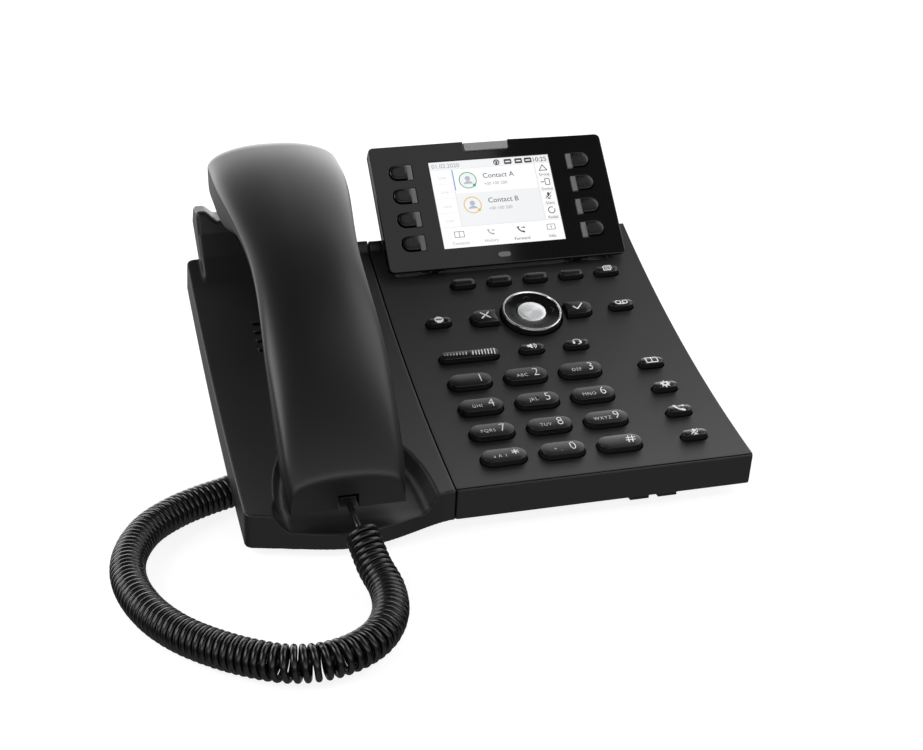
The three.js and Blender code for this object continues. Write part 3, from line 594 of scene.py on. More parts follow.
def from_bmesh(mesh):
    mesh.verts.index_update()
    out = np.array([v.co for v in mesh.verts]), [tuple(v.index for v in f.verts) for f in mesh.faces]
    mesh.free()
    return out


def sliced(shape, axis, places):
    """The same shape, cut across at each place along an axis so that it can bend there."""
    mesh = to_bmesh(shape)
    bmesh.ops.remove_doubles(mesh, verts=mesh.verts, dist=1e-4)
    normal = np.eye(3)[axis]
    for place in places:
        geometry = mesh.verts[:] + mesh.edges[:] + mesh.faces[:]
        bmesh.ops.bisect_plane(mesh, geom=geometry, plane_co=normal * place, plane_no=normal, dist=1e-5)
    return from_bmesh(mesh)


def weighted(obj):
    """Flat faces keep their own shading next to rounded edges."""
    modifier = obj.modifiers.new("weighted", "WEIGHTED_NORMAL")
    modifier.keep_sharp = True
    modifier.weight = 100
    return obj


# ---- shapes as distance fields ------------------------------------------------------------


def smin(a, b, k):
    """The smaller of two fields, with the corner between them filled to about radius k."""
    h = np.clip(0.5 + 0.5 * (b - a) / k, 0, 1)
    return b + (a - b) * h - k * h * (1 - h)


def smax(a, b, k):
    return -smin(-a, -b, k)


def smooth_step(low, high, value):
    k = np.clip((np.asarray(value, float) - low) / (high - low), 0, 1)
    return k * k * (3 - 2 * k)

def span(value, low, high):
    """The field of what lies between two bounds."""
    return np.maximum(low - value, value - high)


def common(*fields):
    """The field of what is inside all of them."""
    return functools.reduce(np.maximum, fields)


def polygon_field(y, z, corners):
    """Signed distance to a polygon, below 0 inside it."""
    corners = np.asarray(corners, float)
    best = np.full(y.shape, 1e9)
    sign = np.ones(y.shape)
    for (ay, az), (by, bz) in zip(corners, np.roll(corners, 1, axis=0)):
        ey, ez = by - ay, bz - az
        wy, wz = y - ay, z - az
        t = np.clip((wy * ey + wz * ez) / (ey * ey + ez * ez), 0, 1)
        best = np.minimum(best, (wy - ey * t) ** 2 + (wz - ez * t) ** 2)
        above, below = z >= az, z < bz
        side = ey * wz > ez * wy
        flip = (above & below & side) | (~above & ~below & ~side)
        sign = np.where(flip, -sign, sign)
    return sign * np.sqrt(best)


def isosurface(field, low, step):
    """(points, faces) where the field is 0, facing out."""
    grid = openvdb.FloatGrid(3.0)
    grid.copyFromArray(np.clip(field, -3, 3).astype(np.float32))
    points, faces = grid.convertToQuads(isovalue=0.0)
    points = np.asarray(points, float) * step + np.asarray(low, float)
    faces = np.asarray(faces)
    a, b, c = (points[faces[:, i]] for i in range(3))
    if (a * np.cross(b, c)).sum() < 0:
        faces = faces[:, ::-1]
    return points, faces.tolist()


# ---- the cord -----------------------------------------------------------------------------

# The route over the desk, in the frame's own millimetres, from the handset to the base.
CORD_ROUTE = [
    (-64.25, -90.2, 21.0),
    (-64.25, -94.0, 20.9),
    (-64.2, -98.0, 20.2),
    (-64.0, -102.5, 18.9),
    (-62.8, -109.8, 15.2),
    (-61.4, -120.0, 9.8),
    (-59.7, -133.0, 6.9),
    (-62.5, -150.0, 6.8),
    (-69.8, -163.6, 6.8),
    (-79.5, -171.2, 6.8),
    (-91.0, -174.4, 6.8),
    (-102.7, -172.4, 6.8),
    (-113.6, -165.8, 6.8),
    (-124.6, -156.0, 6.8),
    (-134.9, -143.3, 6.8),
    (-143.3, -125.8, 6.8),
    (-147.7, -103.6, 6.8),
    (-145.9, -84.0, 6.8),
    (-137.4, -64.4, 6.8),
    (-125.2, -52.0, 6.8),
    (-113.2, -44.6, 6.8),
    (-102.5, -39.6, 6.8),
    (-92.0, -33.0, 6.8),
    (-83.4, -25.9, 6.8),
    (-80.6, -23.3, 6.6),
    (-77.6, -20.0, 9.6),
    (-74.6, -16.4, 13.8),
    (-71.4, -14.4, 16.2),
    (-68.0, -14.2, 16.5),
]
COIL_START, COIL_END = 3, 23  # the route's points between which the cord is coiled
HANG_END = 10  # the stretch before this point moves with the handset
WIRE_RADIUS = 1.25
COIL_RADIUS = 5.4  # of the wire's own centreline
COIL_DELAY = 3.2  # of the coil's start, past the route's point there
PITCH = 2.6
COIL_RAMP = 3.2  # the length in which the coil reaches its radius
SPAN_STEPS = 40
TUBE_SIDES = 10


def distances(path):
    """How far along a path each of its points is."""
    return np.concatenate([[0], np.cumsum(np.linalg.norm(np.diff(path, axis=0), axis=1))])


def spline(points):
    """A centripetal Catmull-Rom curve, with SPAN_STEPS steps from each point to the next."""
    p = np.asarray(points, float)
    p = np.vstack([2 * p[0] - p[1], p, 2 * p[-1] - p[-2]])
    out = []
    for i in range(1, len(p) - 2):
        q = p[i - 1 : i + 3]
        t = np.concatenate([[0], np.cumsum(np.sqrt(np.linalg.norm(np.diff(q, axis=0), axis=1)))])
        x = np.linspace(t[1], t[2], SPAN_STEPS, endpoint=False)[:, None]
        blend = lambda a, b, ta, tb: ((tb - x) * a + (x - ta) * b) / (tb - ta)
        a1, a2, a3 = (blend(q[k], q[k + 1], t[k], t[k + 1]) for k in range(3))
        b1, b2 = blend(a1, a2, t[0], t[2]), blend(a2, a3, t[1], t[3])
        out.append(blend(b1, b2, t[1], t[2]))
    return np.vstack([*out, p[-2][None]])


def resampled(path, step):
    """Points a step apart along a path, and the distance along it of each."""
    along = distances(path)
    places = np.linspace(0, along[-1], int(along[-1] / step) + 1)
    return np.stack([np.interp(places, along, path[:, i]) for i in range(3)], 1), places


def carried_frames(path):
    """Unit tangents of a path, and two normals carried along it without twist."""
    tangent = np.gradient(path, axis=0)
    tangent /= np.linalg.norm(tangent, axis=1)[:, None]
    normal = np.zeros_like(path)
    first = np.cross(tangent[0], (1, 0, 0))
    normal[0] = first / np.linalg.norm(first)
    for i in range(1, len(path)):
        n = normal[i - 1] - tangent[i] * (normal[i - 1] @ tangent[i])
        normal[i] = n / np.linalg.norm(n)
    return tangent, normal, np.cross(tangent, normal)


def wound(line, reach, angle, normal, binormal):
    """The points at that reach and angle round each point of a line."""
    aside = np.cos(angle)[..., None] * normal + np.sin(angle)[..., None] * binormal
    return line + reach * aside


def tube(path, radius):
    """(points, faces) of a closed tube along a path."""
    _, normal, binormal = carried_frames(path)
    angles = np.linspace(0, 2 * math.pi, TUBE_SIDES, endpoint=False)[None]
    rings = wound(path[:, None], radius, angles, normal[:, None], binormal[:, None])
    return loft(rings, close_start=True, close_end=True)


def stretch(name, path, body, nodes, plug):
    """One stretch of the cord, along its wire's own path."""
    path, _ = resampled(path, 1.15)
    obj = piece(name, tube(path, WIRE_RADIUS), from_frame, [JACKET], body, nodes, "cord")
    path = path * MM
    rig.cord(
        obj,
        exit=tuple(path[0]),
        length=float(distances(path)[-1]),
        diameter=2 * WIRE_RADIUS * MM,
        far_end="object",
        stiffness="medium",
        lay="coiled",
        path=path,
        with_pieces=[plug],
    )
    return obj


def cord():
    """The wire: straight out of the handset, wound in its coil, and straight into the base."""
    whole = spline(CORD_ROUTE)
    line, along = resampled(whole, 0.1)
    knots = distances(whole)[::SPAN_STEPS]
    coil_from, coil_to, cut = knots[COIL_START] + COIL_DELAY, knots[COIL_END], knots[HANG_END]
    tangent, normal, binormal = carried_frames(line)
    bend = np.linalg.norm(np.gradient(tangent, along, axis=0), axis=1)
    bend = np.convolve(bend, np.ones(81) / 81, mode="same")
    # The turns open out on a bend, because on its inside they already touch.
    pitch = np.maximum(PITCH, 2 * WIRE_RADIUS * 1.03 / np.clip(1 - COIL_RADIUS * bend, 0.5, 1))
    reach = COIL_RADIUS * smooth_step(coil_from, coil_from + COIL_RAMP, along)
    reach *= 1 - smooth_step(coil_to - COIL_RAMP, coil_to, along)
    inside = (along > coil_from) & (along < coil_to)
    turns = np.where(inside, 2 * math.pi / pitch, 0)[:-1] * np.diff(along)
    turn = np.concatenate([[0], np.cumsum(turns)])
    turn -= np.interp(cut, along, turn)
    path = wound(line, reach[:, None], turn, normal, binormal)
    index = int(np.searchsorted(along, cut))
    hanging = stretch("cord_at_handset", path[: index + 1], None, ("cord_tail_handset",), "handset_plug")
    stretch("cord_to_base", path[index:], "base", ("coiled_cord", "cord_tail_base"), "base_plug")
    start, end = (tuple(np.array(CORD_ROUTE[i]) * MM) for i in (HANG_END, 0))
    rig.blend(hanging, "base", "handset", start=start, end=end)


# ---- outlines -----------------------------------------------------------------------------


def arc(x, y, radius, start, end, steps=10):
    """Points of an arc, from one angle to another in degrees."""
    angles = np.radians(np.linspace(start, end, steps + 1))
    return [(x + radius * math.cos(a), y + radius * math.sin(a)) for a in angles]


def stadium(width, depth, grow=0.0, steps=12):
    r, reach = depth / 2 + grow, (width - depth) / 2
    return arc(reach, 0, r, -90, 90, steps) + arc(-reach, 0, r, 90, 270, steps)


def rounded(left, right, bottom, top, radius, steps=5):
    return (
        arc(right - radius, bottom + radius, radius, -90, 0, steps)
        + arc(right - radius, top - radius, radius, 0, 90, steps)
        + arc(left + radius, top - radius, radius, 90, 180, steps)
        + arc(left + radius, bottom + radius, radius, 180, 270, steps)
    )


def circle(radius, steps=48, x=0.0, y=0.0):
    return arc(x, y, radius, 0, 360, steps)[:-1]


def shifted(outline, u, s):
    return [(x + u, y + s) for x, y in outline]


def rectangle(left, right, bottom, top):
    return [(left, bottom), (right, bottom), (right, top), (left, top)]


# ---- marks: digits, letters and icons -----------------------------------------------------


def blob(outline):
    """A filled flat shape."""
    return [(x, y, 0) for x, y in outline], [tuple(range(len(outline)))]


def ribbon(points, width, closed=False):
    """A flat line of that width with round joints."""
    build = Build()
    line = [np.array(p, float) for p in points]
    for a, b in zip(line, line[1:] + line[:1] if closed else line[1:]):
        along = b - a
        size = np.linalg.norm(along)
        if size < 1e-6:
            continue
        side = np.array([-along[1], along[0]]) / size * width / 2
        build.add(blob([a - side, b - side, b + side, a + side]))
    for x, y in line:
        build.add(blob(circle(width / 2, 8, x, y)))
    return build


def strokes(width, *lines):
    return Build(*(ribbon(line, width) for line in lines))


def moved(shape, x=0.0, y=0.0, scale=1.0):
    points, faces = shape
    return np.asarray(points, float).reshape(-1, 3) * scale + (x, y, 0), faces


def lettering(text, size, x=0.0, y=0.0, stretch=1.0, spacing=1.0, weight=-0.02):
    """Flat letters centred on (x, y), size being about their height and weight of their strokes."""
    curve = bpy.data.curves.new("letters", "FONT")
    curve.body, curve.size = text, size * 1.37
    curve.align_x, curve.align_y = "CENTER", "CENTER"
    curve.space_character = spacing
    curve.resolution_u = 3
    curve.offset = weight * size
    points, faces = evaluated(curve)
    middle = (points.min(0) + points.max(0)) / 2
    return (points - middle) * (stretch, 1, 1) + (x, y, 0), faces


def spokes(inner, outer, angles):
    """Lines from one radius to another, at those angles in degrees."""
    return [[(r * math.cos(a), r * math.sin(a)) for r in (inner, outer)] for a in np.radians(angles)]


THIN, FINE = 0.42, 0.3
BOOK = rectangle(-2.2, 2.2, -1.4, 1.4), [(0, -1.4), (0, 1.4)]

ICONS = {
    "cross": strokes(0.5, [(-1.5, -1.5), (1.5, 1.5)], [(-1.5, 1.5), (1.5, -1.5)]),
    "tick": ribbon([(-1.7, 0.1), (-0.5, -1.3), (1.9, 1.5)], 0.5),
    "book": Build(ribbon(BOOK[0], THIN, closed=True), ribbon(BOOK[1], THIN)),
    "gear": Build(
        ribbon(circle(1.0, 16), 0.8, closed=True), strokes(0.6, *spokes(1.3, 1.75, range(0, 360, 45)))
    ),
    "receiver": Build(
        ribbon([(-1.7, 1.2), (-1.2, 0.0), (-0.2, -1.0), (1.0, -1.5)], 0.7),
        ribbon([(-1.9, 1.4), (-1.2, 1.5)], 0.8),
        ribbon([(0.9, -1.1), (1.5, -1.6)], 0.9),
        ribbon([(0.2, 1.1), (2.2, 1.1)], THIN),
        ribbon([(1.6, 1.6), (2.2, 1.1), (1.6, 0.6)], FINE),
    ),
    "microphone": Build(
        ribbon([(0, 0.2), (0, 1.2)], 1.1),
        ribbon(arc(0, 0.1, 1.1, 180, 360, 8), FINE),
        strokes(FINE, [(0, -1.0), (0, -1.6)], [(-0.7, -1.6), (0.7, -1.6)], [(-1.6, -1.4), (1.6, 1.7)]),
    ),
    "loudspeaker": Build(
        blob([(-1.9, -0.6), (-1.1, -0.6), (0.0, -1.5), (0.0, 1.5), (-1.1, 0.6), (-1.9, 0.6)]),
        strokes(FINE, arc(-0.2, 0, 1.1, -45, 45, 6), arc(-0.2, 0, 1.8, -50, 50, 8)),
    ),
    "headset": Build(
        ribbon(arc(0, 0, 1.4, -30, 210, 14), 0.4),
        strokes(0.9, *([(x, -0.9), (x, -0.3)] for x in (-1.3, 1.3))),
        ribbon([(1.3, -1.0), (0.8, -1.5), (0.2, -1.5)], FINE),
    ),
    "voicemail": Build(
        *(ribbon(circle(1.0, 16, x, 0.1), 0.45, closed=True) for x in (-1.4, 1.4)),
        ribbon([(-1.4, -0.95), (1.4, -0.95)], 0.45),
    ),
    "page": Build(
        ribbon(rectangle(-1.4, 1.4, -1.1, 1.1), THIN, closed=True),
        strokes(FINE, [(-0.7, 1.6), (2.0, 1.6), (2.0, -0.5)], *([(-0.7, y), (0.7, y)] for y in (0.3, -0.4))),
    ),
    "no_entry": Build(
        *(blob(arc(0, 0, 1.8, start, start + 156, 16)) for start in (12, 192)),
        *(blob(rectangle(x, x + 0.56, -0.37, 0.37)) for x in (-1.76, 1.2)),
    ),
}


# ---- keys ---------------------------------------------------------------------------------

KEY_FOOT, KEY_TOP = -1.1, 2.8
SIDE_TOP = 2.25  # where a key's side ends and its rounded edge starts
DRAFT = 0.3  # how far the side leans in by then
EDGE = 0.32
CROWN = 0.28  # how far a key's middle stands above its edge


def crown_height(inset, middle):
    """The height of a key's face at that distance in from its outline."""
    start = DRAFT + EDGE
    share = np.clip((np.asarray(inset, float) - start) / max(middle - start, 0.1), 0, 1)
    return KEY_TOP - CROWN * (1 - share) ** 2


def key_skin(outline, middle):
    """The skin of a key: sides with some draft, a small rounded edge and a gently crowned face.

    outline gives the key's outline grown by its argument, and middle is half its depth.
    """
    edge_height = float(crown_height(DRAFT + EDGE, middle))
    levels = [(0.0, KEY_FOOT), (-DRAFT, SIDE_TOP)]
    for a in np.radians((30, 60, 90)):
        inset = DRAFT + EDGE * (1 - math.cos(a))
        levels.append((-inset, SIDE_TOP + (edge_height - SIDE_TOP) * math.sin(a)))
    for inset in np.linspace(DRAFT + EDGE + 0.15, middle - 0.06, 8):
        levels.append((-float(inset), float(crown_height(inset, middle))))
    rings = [[(x, y, h) for x, y in outline(grow)] for grow, h in levels]
    return loft(rings, close_end=True)


def key(name, u, s, outline, middle, mark=None, half=None):
    """A key's cap. half is half its depth, and middle where its crown is highest, if that differs."""
    build = Build(key_skin(outline, middle))
    if mark is not None:
        build.add(printed(mark, middle, half), 1)
    if name == "dial_key_5":
        dot = lathe([(0.55, -0.1), (0.5, 0.15), (0.32, 0.28), (0.02, 0.32)])
        dot[0][:] += (0, 0.3, KEY_TOP)
        build.add(dot, 2)
    piece(name + "_cap", build, on_deck(u, s), [KEY, PRINT, DARK_MARK_AND_SHADE], name, (name,), "key", sharp=50)


def printed(mark, middle, half=None, above=0.025):
    """A flat mark laid on a key's crowned face."""
    points, faces = sliced(mark, 1, np.arange(-3.6, 3.7, 0.4))
    points[:, 2] = crown_height((half or middle) - np.abs(points[:, 1]), middle) + above
    return points, faces


DIAL_SIZE = (18.9, 8.8)
DIAL_PITCH = (24.36, 17.0)
SMALL = (11.2, 4.8)
DIAL_KEYS = [
    ("1", "1", ""),
    ("2", "2", "ABC"),
    ("3", "3", "DEF"),
    ("4", "4", "GHI"),
    ("5", "5", "JKL"),
    ("6", "6", "MNO"),
    ("7", "7", "PQRS"),
    ("8", "8", "TUV"),
    ("9", "9", "WXYZ"),
    ("star", "*", "a A 1"),
    ("0", "0", "+ _"),
    ("hash", "#", ""),
]
DIAL_PLACES = [(23.6 + DIAL_PITCH[0] * i, 16.5 + DIAL_PITCH[1] * j) for j in (3, 2, 1, 0) for i in range(3)]
NAV_PLACE = (62.5, 108.0)
ROCKER = (26.4, 5.6)
ROCKER_PLACE = (27.7, 84.4)
SOFT_ROW, AUDIO_ROW = 131.6, 84.8
SIDE_U = 104.5

# The small keys' names, places and icons.
SMALL_KEYS = [(f"soft_key_{i + 1}", 37.1 + 17 * i, SOFT_ROW, None) for i in range(4)]
SMALL_KEYS += [
    ("page_key", 105.1, SOFT_ROW, "page"),
    ("do_not_disturb_key", 20.1, NAV_PLACE[1], "no_entry"),
    ("voicemail_key", SIDE_U, NAV_PLACE[1], "voicemail"),
    ("speaker_key", 55.8, AUDIO_ROW, "loudspeaker"),
    ("headset_key", 76.1, AUDIO_ROW, "headset"),
    ("directory_key", SIDE_U, 67.5, "book"),
    ("settings_key", SIDE_U, 50.5, "gear"),
    ("hold_key", SIDE_U, 33.5, "receiver"),
    ("mute_key", SIDE_U, 16.5, "microphone"),
]
HUG_HALF = 4.3  # half the depth of the keys that hug the navigation ring


def hugging(side, grow=0.0):
    """The outline of the cancel and confirm keys, which follow the navigation ring."""
    inner, outer, half, corner = 16.1 - grow, 27.8 + grow, HUG_HALF + grow, 3.8 + grow
    start = math.degrees(math.asin(half / inner))
    points = arc(0, 0, inner, -start, start, 10)
    points += arc(outer - corner, half - corner, corner, 90, 0, 10)
    points += arc(outer - corner, corner - half, corner, 0, -90, 10)
    return points[::-1] if side > 0 else [(-x, y) for x, y in points]


def dial_mark(digit, letters):
    if digit == "*":
        build = Build(moved(strokes(0.32, *spokes(1, -1, (30, 90, 150))), 4.7, 0.7, 1.45))
    elif digit == "#":
        lines = [[(-1.5, -0.6), (1.5, -0.6)], [(-1.3, 0.6), (1.7, 0.6)]]
        lines += [[(-0.9, -1.7), (-0.3, 1.7)], [(0.4, -1.7), (1.0, 1.7)]]
        build = Build(moved(strokes(0.38, *lines), 4.4, 0.3, 1.25))
    else:
        build = Build(lettering(digit, 5.3, 4.3, 0.4, stretch=0.8))
    if letters:
        build.add(lettering(letters, 1.95, -2.0, -1.0, stretch=0.9, spacing=1.15))
    return build


def deck_keys():
    dial = lambda grow: stadium(*DIAL_SIZE, grow)
    for (label, digit, letters), place in zip(DIAL_KEYS, DIAL_PLACES):
        key(f"dial_key_{label}", *place, dial, DIAL_SIZE[1] / 2, dial_mark(digit, letters))
    small = lambda grow: stadium(*SMALL, grow)
    for name, u, s, icon in SMALL_KEYS:
        key(name, u, s, small, SMALL[1] / 2, moved(ICONS[icon], 0, 0.25, 1.15) if icon else None)
    for side, name, icon in ((-1, "cancel_key", "cross"), (1, "confirm_key", "tick")):
        mark = moved(ICONS[icon], side * 21.4, 0.2, 1.25)
        key(name, *NAV_PLACE, lambda grow: hugging(side, grow), 3.3, mark, HUG_HALF)


def lathe(profile, steps=72):
    """(points, faces) of a profile of (radius, height) pairs turned round the vertical."""
    return loft([[(x, y, h) for x, y in circle(r, steps)] for r, h in profile])


def navigation_key():
    skirt = [(13.3, -3.2), (13.5, -3.0), (13.5, 2.3), (13.42, 2.65), (13.2, 2.85)]
    rim = [(13.2, 2.85), (13.05, 3.1), (12.75, 3.2), (12.45, 3.15), (12.25, 2.9)]
    face = [(12.25, 2.9), (12.2, 2.7), (11.9, 2.62), (9.5, 2.35)]
    face += [(7.3, 2.2), (6.95, 2.1), (6.75, 1.8), (6.72, -3.2)]
    build = Build()
    for index, profile in enumerate((skirt, rim, face)):
        build.add(lathe(profile), index)
    for a in np.radians((0, 90, 180, 270)):
        points, faces = ribbon([(-1.5, 9.0), (0, 10.4), (1.5, 9.0)], 0.42)
        points = points @ np.array(Matrix.Rotation(a, 3, "Z")).T
        build.add((points + (0, 0, 2.49), faces), 3)
    piece(
        "nav_ring_cap", build, on_deck(*NAV_PLACE), [KEY, CHROME, GLOSS, ENGRAVED],
        "nav_ring", ("nav_ring",), "gloss_black", sharp=40,
    )
    dome = [(6.35, -3.0), (6.35, 2.35), (6.22, 2.6), (5.95, 2.72), (4.0, 2.84), (2.0, 2.89), (0.02, 2.9)]
    obj = piece("nav_centre_cap", lathe(dome), from_frame, [BRUSHED], None, slot="silver", sharp=40)
    # The turned rings of this piece run round its own axis, so its object stands where it is.
    matrix = Matrix.Rotation(deck_angle(NAV_PLACE[1]), 4, "X")
    matrix.translation = Vector(to_frame(from_deck([[*NAV_PLACE, 0]]))[0])
    obj.matrix_world = matrix
    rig.ride(obj, "nav_centre_button")
    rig.replaces(obj, "nav_centre_button")


def volume_rocker():
    """The rocker: a stroke for each step of the volume, from dots at its left to tall bars."""
    middle = ROCKER[1] / 2
    marks = Build()
    for i in range(8):
        at, tall = -11 + 1.34 * i, 0.1 + 0.11 * i
        marks.add(ribbon([(at, -tall), (at + tall / 4, tall)], 0.32))
        at, tall = 1.3 + 1.36 * i, 1.15 + 0.07 * i
        marks.add(ribbon([(at, -tall), (at + 0.3, tall)], 0.5))
    build = Build(key_skin(lambda grow: stadium(*ROCKER, grow), middle))
    build.add(printed(marks, middle), 1)
    build.add(printed(ribbon([(0, -2.5), (0, 2.5)], 0.3), middle, above=0.03), 2)
    piece(
        "volume_rocker_cap", build, on_deck(*ROCKER_PLACE), [KEY, PRINT, DARK_MARK_AND_SHADE],
        "volume_rocker", ("volume_rocker",), "key", sharp=50,
    )


# ---- base ---------------------------------------------------------------------------------

WELL_LEFT, WELL_RIGHT, WELL_FRONT = 9, 113, 141.4  # the edges of the well under the display
PLAY = 0.4  # between a key and its opening
REAR_LEDGE = 2.6  # the deck's rear edge turns up by that much, left of the display


def faceplate():
    """The deck's top plate, with an opening for each key, cut flat and then bent to the deck."""
    outline = [
        (SEAM, 1.2), (RIGHT, 1.2), (RIGHT, LENGTH), (WELL_RIGHT, LENGTH), (WELL_RIGHT, WELL_FRONT),
        (WELL_LEFT, WELL_FRONT), (WELL_LEFT, LENGTH), (SEAM, LENGTH),
    ]
    holes = [shifted(stadium(*DIAL_SIZE, PLAY), *place) for place in DIAL_PLACES]
    holes += [shifted(stadium(*SMALL, PLAY), u, s) for _, u, s, _ in SMALL_KEYS]
    holes += [shifted(hugging(side, PLAY), *NAV_PLACE) for side in (-1, 1)]
    holes.append(shifted(circle(14.1), *NAV_PLACE))
    holes.append(shifted(stadium(*ROCKER, PLAY), *ROCKER_PLACE))
    flat = plate([outline, *holes], -1.5, 0, bevel=0.22)
    bent = sliced(flat, 1, np.arange(3.0, LENGTH, 4.0))
    weighted(piece("faceplate", bent, from_deck, [SHELL], "base", ("deck_faceplate",), "shell", sharp=60))


def grid(low, high, step):
    axes = [np.arange(a, b + step, step) for a, b in zip(low, high)]
    return np.meshgrid(*axes, indexing="ij", sparse=True)


def level_grid(s, h):
    """The level y and z over a grid of s and h."""
    level = from_deck(np.stack(np.broadcast_arrays(0 * s, s, h), -1))
    shape = np.broadcast(s, h).shape
    return [level[:, i].reshape(shape) for i in (1, 2)]


def level_yz(s, h):
    return tuple(from_deck([[0, s, h]])[0][1:])


def from_field(name, field, low, step, replaced):
    piece(name, isosurface(field, low, step), from_deck, [SHELL], "base", (replaced,), "shell")


HINGE = tilted([[0, 3.0, -5.0]], DISPLAY_ORIGIN, DISPLAY_TILT)[0][1:]
EYE, BORE = 2.6, 1.65  # the radii of the bearing ears and of their holes

# The housing's openings under each group of keys, as (left, right, front, back).
KEY_WINDOWS = [
    (12.4, 83.4, 10.8, 73.8),
    (97.2, 111.8, 12.2, 71.8),
    (11, 112, 79.5, 125.2),
    (30.2, 112, 127.4, 135.8),
]


def housing():
    """The key deck's walls, front rim and display well, with the display's bearing ears."""
    step = 0.8 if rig.quick() else 0.5
    low, high = (-1.0, -1.6, -15.4), (125.4, 165.4, 4.2)
    u, s, h = grid(low, high, step)
    ends = smax(span(u, SEAM, RIGHT), span(s, 0, LENGTH), 0.9)
    body = smax(ends, span(h, FOOT, -1.8), 0.7)
    rim = smax(smax(ends, s - 0.9, 0.2), span(h, FOOT + 1, 0), 0.5)
    inside = common(span(u, 2.15, RIGHT - 2), span(s, 2, LENGTH - 2), span(h, FOOT - 2, -3.3))
    well_walls = common(span(u, 7, 115), span(s, 139.4, LENGTH - 1), span(h, -9.5, -2.3))
    field = np.minimum(np.maximum(np.minimum(body, rim), -inside), well_walls)
    for left, right, front, back in KEY_WINDOWS:
        field = np.maximum(field, -common(span(u, left, right), span(s, front, back), -5 - h))
    well = smax(span(u, WELL_LEFT, WELL_RIGHT), smax(WELL_FRONT - s, -7.5 - h, 0.8), 0.8)
    field = smax(field, -well, 0.5)
    y, z = level_grid(s, h)
    hinge_y, hinge_z = HINGE
    foot_y, foot_z = level_yz(152, -8)
    post = [(hinge_y - EYE, hinge_z), (foot_y - 7, foot_z - 3)]
    post += [(foot_y + 1, foot_z), (hinge_y + EYE, hinge_z)]
    out = np.hypot(y - hinge_y, z - hinge_z)
    ear = np.maximum(np.minimum(polygon_field(y, z, post), out - EYE), BORE - out)
    for start in (25.3, 93.3):
        field = np.minimum(field, smax(ear, span(u, start, start + 4), 0.4))
    rise = REAR_LEDGE * smooth_step(LENGTH - 6, LENGTH - 1, s) - 0.4
    ledge = smax(span(u, SEAM, WELL_LEFT), span(s, LENGTH - 7, LENGTH), 0.4)
    field = np.minimum(field, smax(ledge, span(h, -2, rise), 0.5))
    from_field("housing", field, low, step, "deck_housing")


HANDSET_X = -43.3
CUP_TOP = 76.5
CUP_PROFILE = [(150, 53), (156, 62), (159, 74), (163, CUP_TOP), (169, 73), (177.5, 62), (165, 52)]
REST_PROFILE = [(126, 52), (130, 66), (134, 70.5), (156, 74.5), (162, 60)]
EAR_ROOM = [(108, 66.8), (125, 71.4), (136.3, 73.2), (148.2, 74.4)]
EAR_ROOM += [(157, 76.2), (163, 80), (167, 92), (90, 92)]

# The mouth recess's sides, at each s.
RECESS_S = [-24, 4, 12, 20, 28, 36, 43, 48, 50.5]
RECESS_LEFT = [-69.3, -69.3, -68.9, -67.7, -65.7, -62.6, -58.6, -53.5, -47]
RECESS_RIGHT = [-8.1, -8.1, -8.6, -9.9, -12.3, -16, -20.9, -27, -34]
RECESS_DEPTH = 7.4


def cradle():
    """The handset's side of the base: its deck, front bulge, mouth recess, ear rest and cup."""
    step = 0.9 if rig.quick() else 0.5
    low, high = (-83.4, -12.0, -17.0), (1.0, 192.0, 31.0)
    u, s, h = grid(low, high, step)
    edge = 0.55
    foot = FOOT - 1.3 * (1 - smooth_step(-80, -52, u))
    front = -9.5 * np.sin(math.pi * np.clip((u + 81) / 79, 0, 1)) ** 1.4
    ends = smax(smax(LEFT - u, span(s, front, LENGTH), 3.5), u + SEAM, 0.3)
    ledge = REAR_LEDGE * smooth_step(LENGTH - 6, LENGTH - 1, s) * smooth_step(-12, -10.6, u)
    field = smax(ends, span(h, foot, ledge), edge)

    y, z = level_grid(s, h)
    cup = polygon_field(y, z, [level_yz(146, -1), *CUP_PROFILE, level_yz(162, -6)])
    # The cup's edge is lower at its sides, and on the left it dips between the cheek and the ear.
    beside = HANDSET_X - u
    top = CUP_TOP - 3.4 * smooth_step(23, 33, -beside) - 5.2 * smooth_step(12, 22, beside)
    top = top - 4.5 * smooth_step(15, 23, beside) * (1 - smooth_step(23, 29, beside))
    cup = smax(smax(cup, z - top, 2.0), span(u, -76, -10.6), 1.6)
    rest = polygon_field(y, z, [level_yz(123, -1), *REST_PROFILE, level_yz(150, -1)])
    rest = smax(rest, span(u, -51.5, -35), 2.0)
    room = smax(polygon_field(y, z, EAR_ROOM), span(u, -70.9, -14), 2.4)
    field = smax(smin(smin(field, rest, 1.5), cup, 1.2), -room, 0.8)

    # The recess: its sides slope more towards the front, and its floor meets them in a curve.
    rise = np.clip((h + RECESS_DEPTH) / RECESS_DEPTH, 0, 1.5)
    slope = (1.0 - 0.6 * smooth_step(2, 40, s)) * (0.9 - rise)
    left = np.interp(s, RECESS_S, RECESS_LEFT) - 1.6 * (1 - smooth_step(2, 10, s))
    left = left + (2.2 + 2.6 * (1 - smooth_step(2, 12, s))) * slope
    right = np.interp(s, RECESS_S, RECESS_RIGHT) - 4.5 * slope
    floor = -RECESS_DEPTH - (s - 4) ** 2 / (2 * RADIUS) + 0.8 * (1 - smooth_step(-8, 2, s))
    pocket = smax(smax(span(u, left, right), s - 50, 3.0), floor - h, 2.6)
    field = smax(field, -pocket, edge)

    for at in (103.0, 108.6, 114.2, 119.8):
        slot = smax(np.abs(s - at) - 1.0, np.abs(u - HANDSET_X) - 16.2, 0.6)
        field = smax(field, -np.maximum(slot, -3.5 - h), 0.3)
    plunger = common(np.abs(u - HANDSET_X) - 4.4, np.abs(y - 142) - 2.9, 62 - z)
    field = smax(field, -plunger, 0.4)
    from_field("cradle", field, low, step, "handset_cradle")


# ---- handset ------------------------------------------------------------------------------

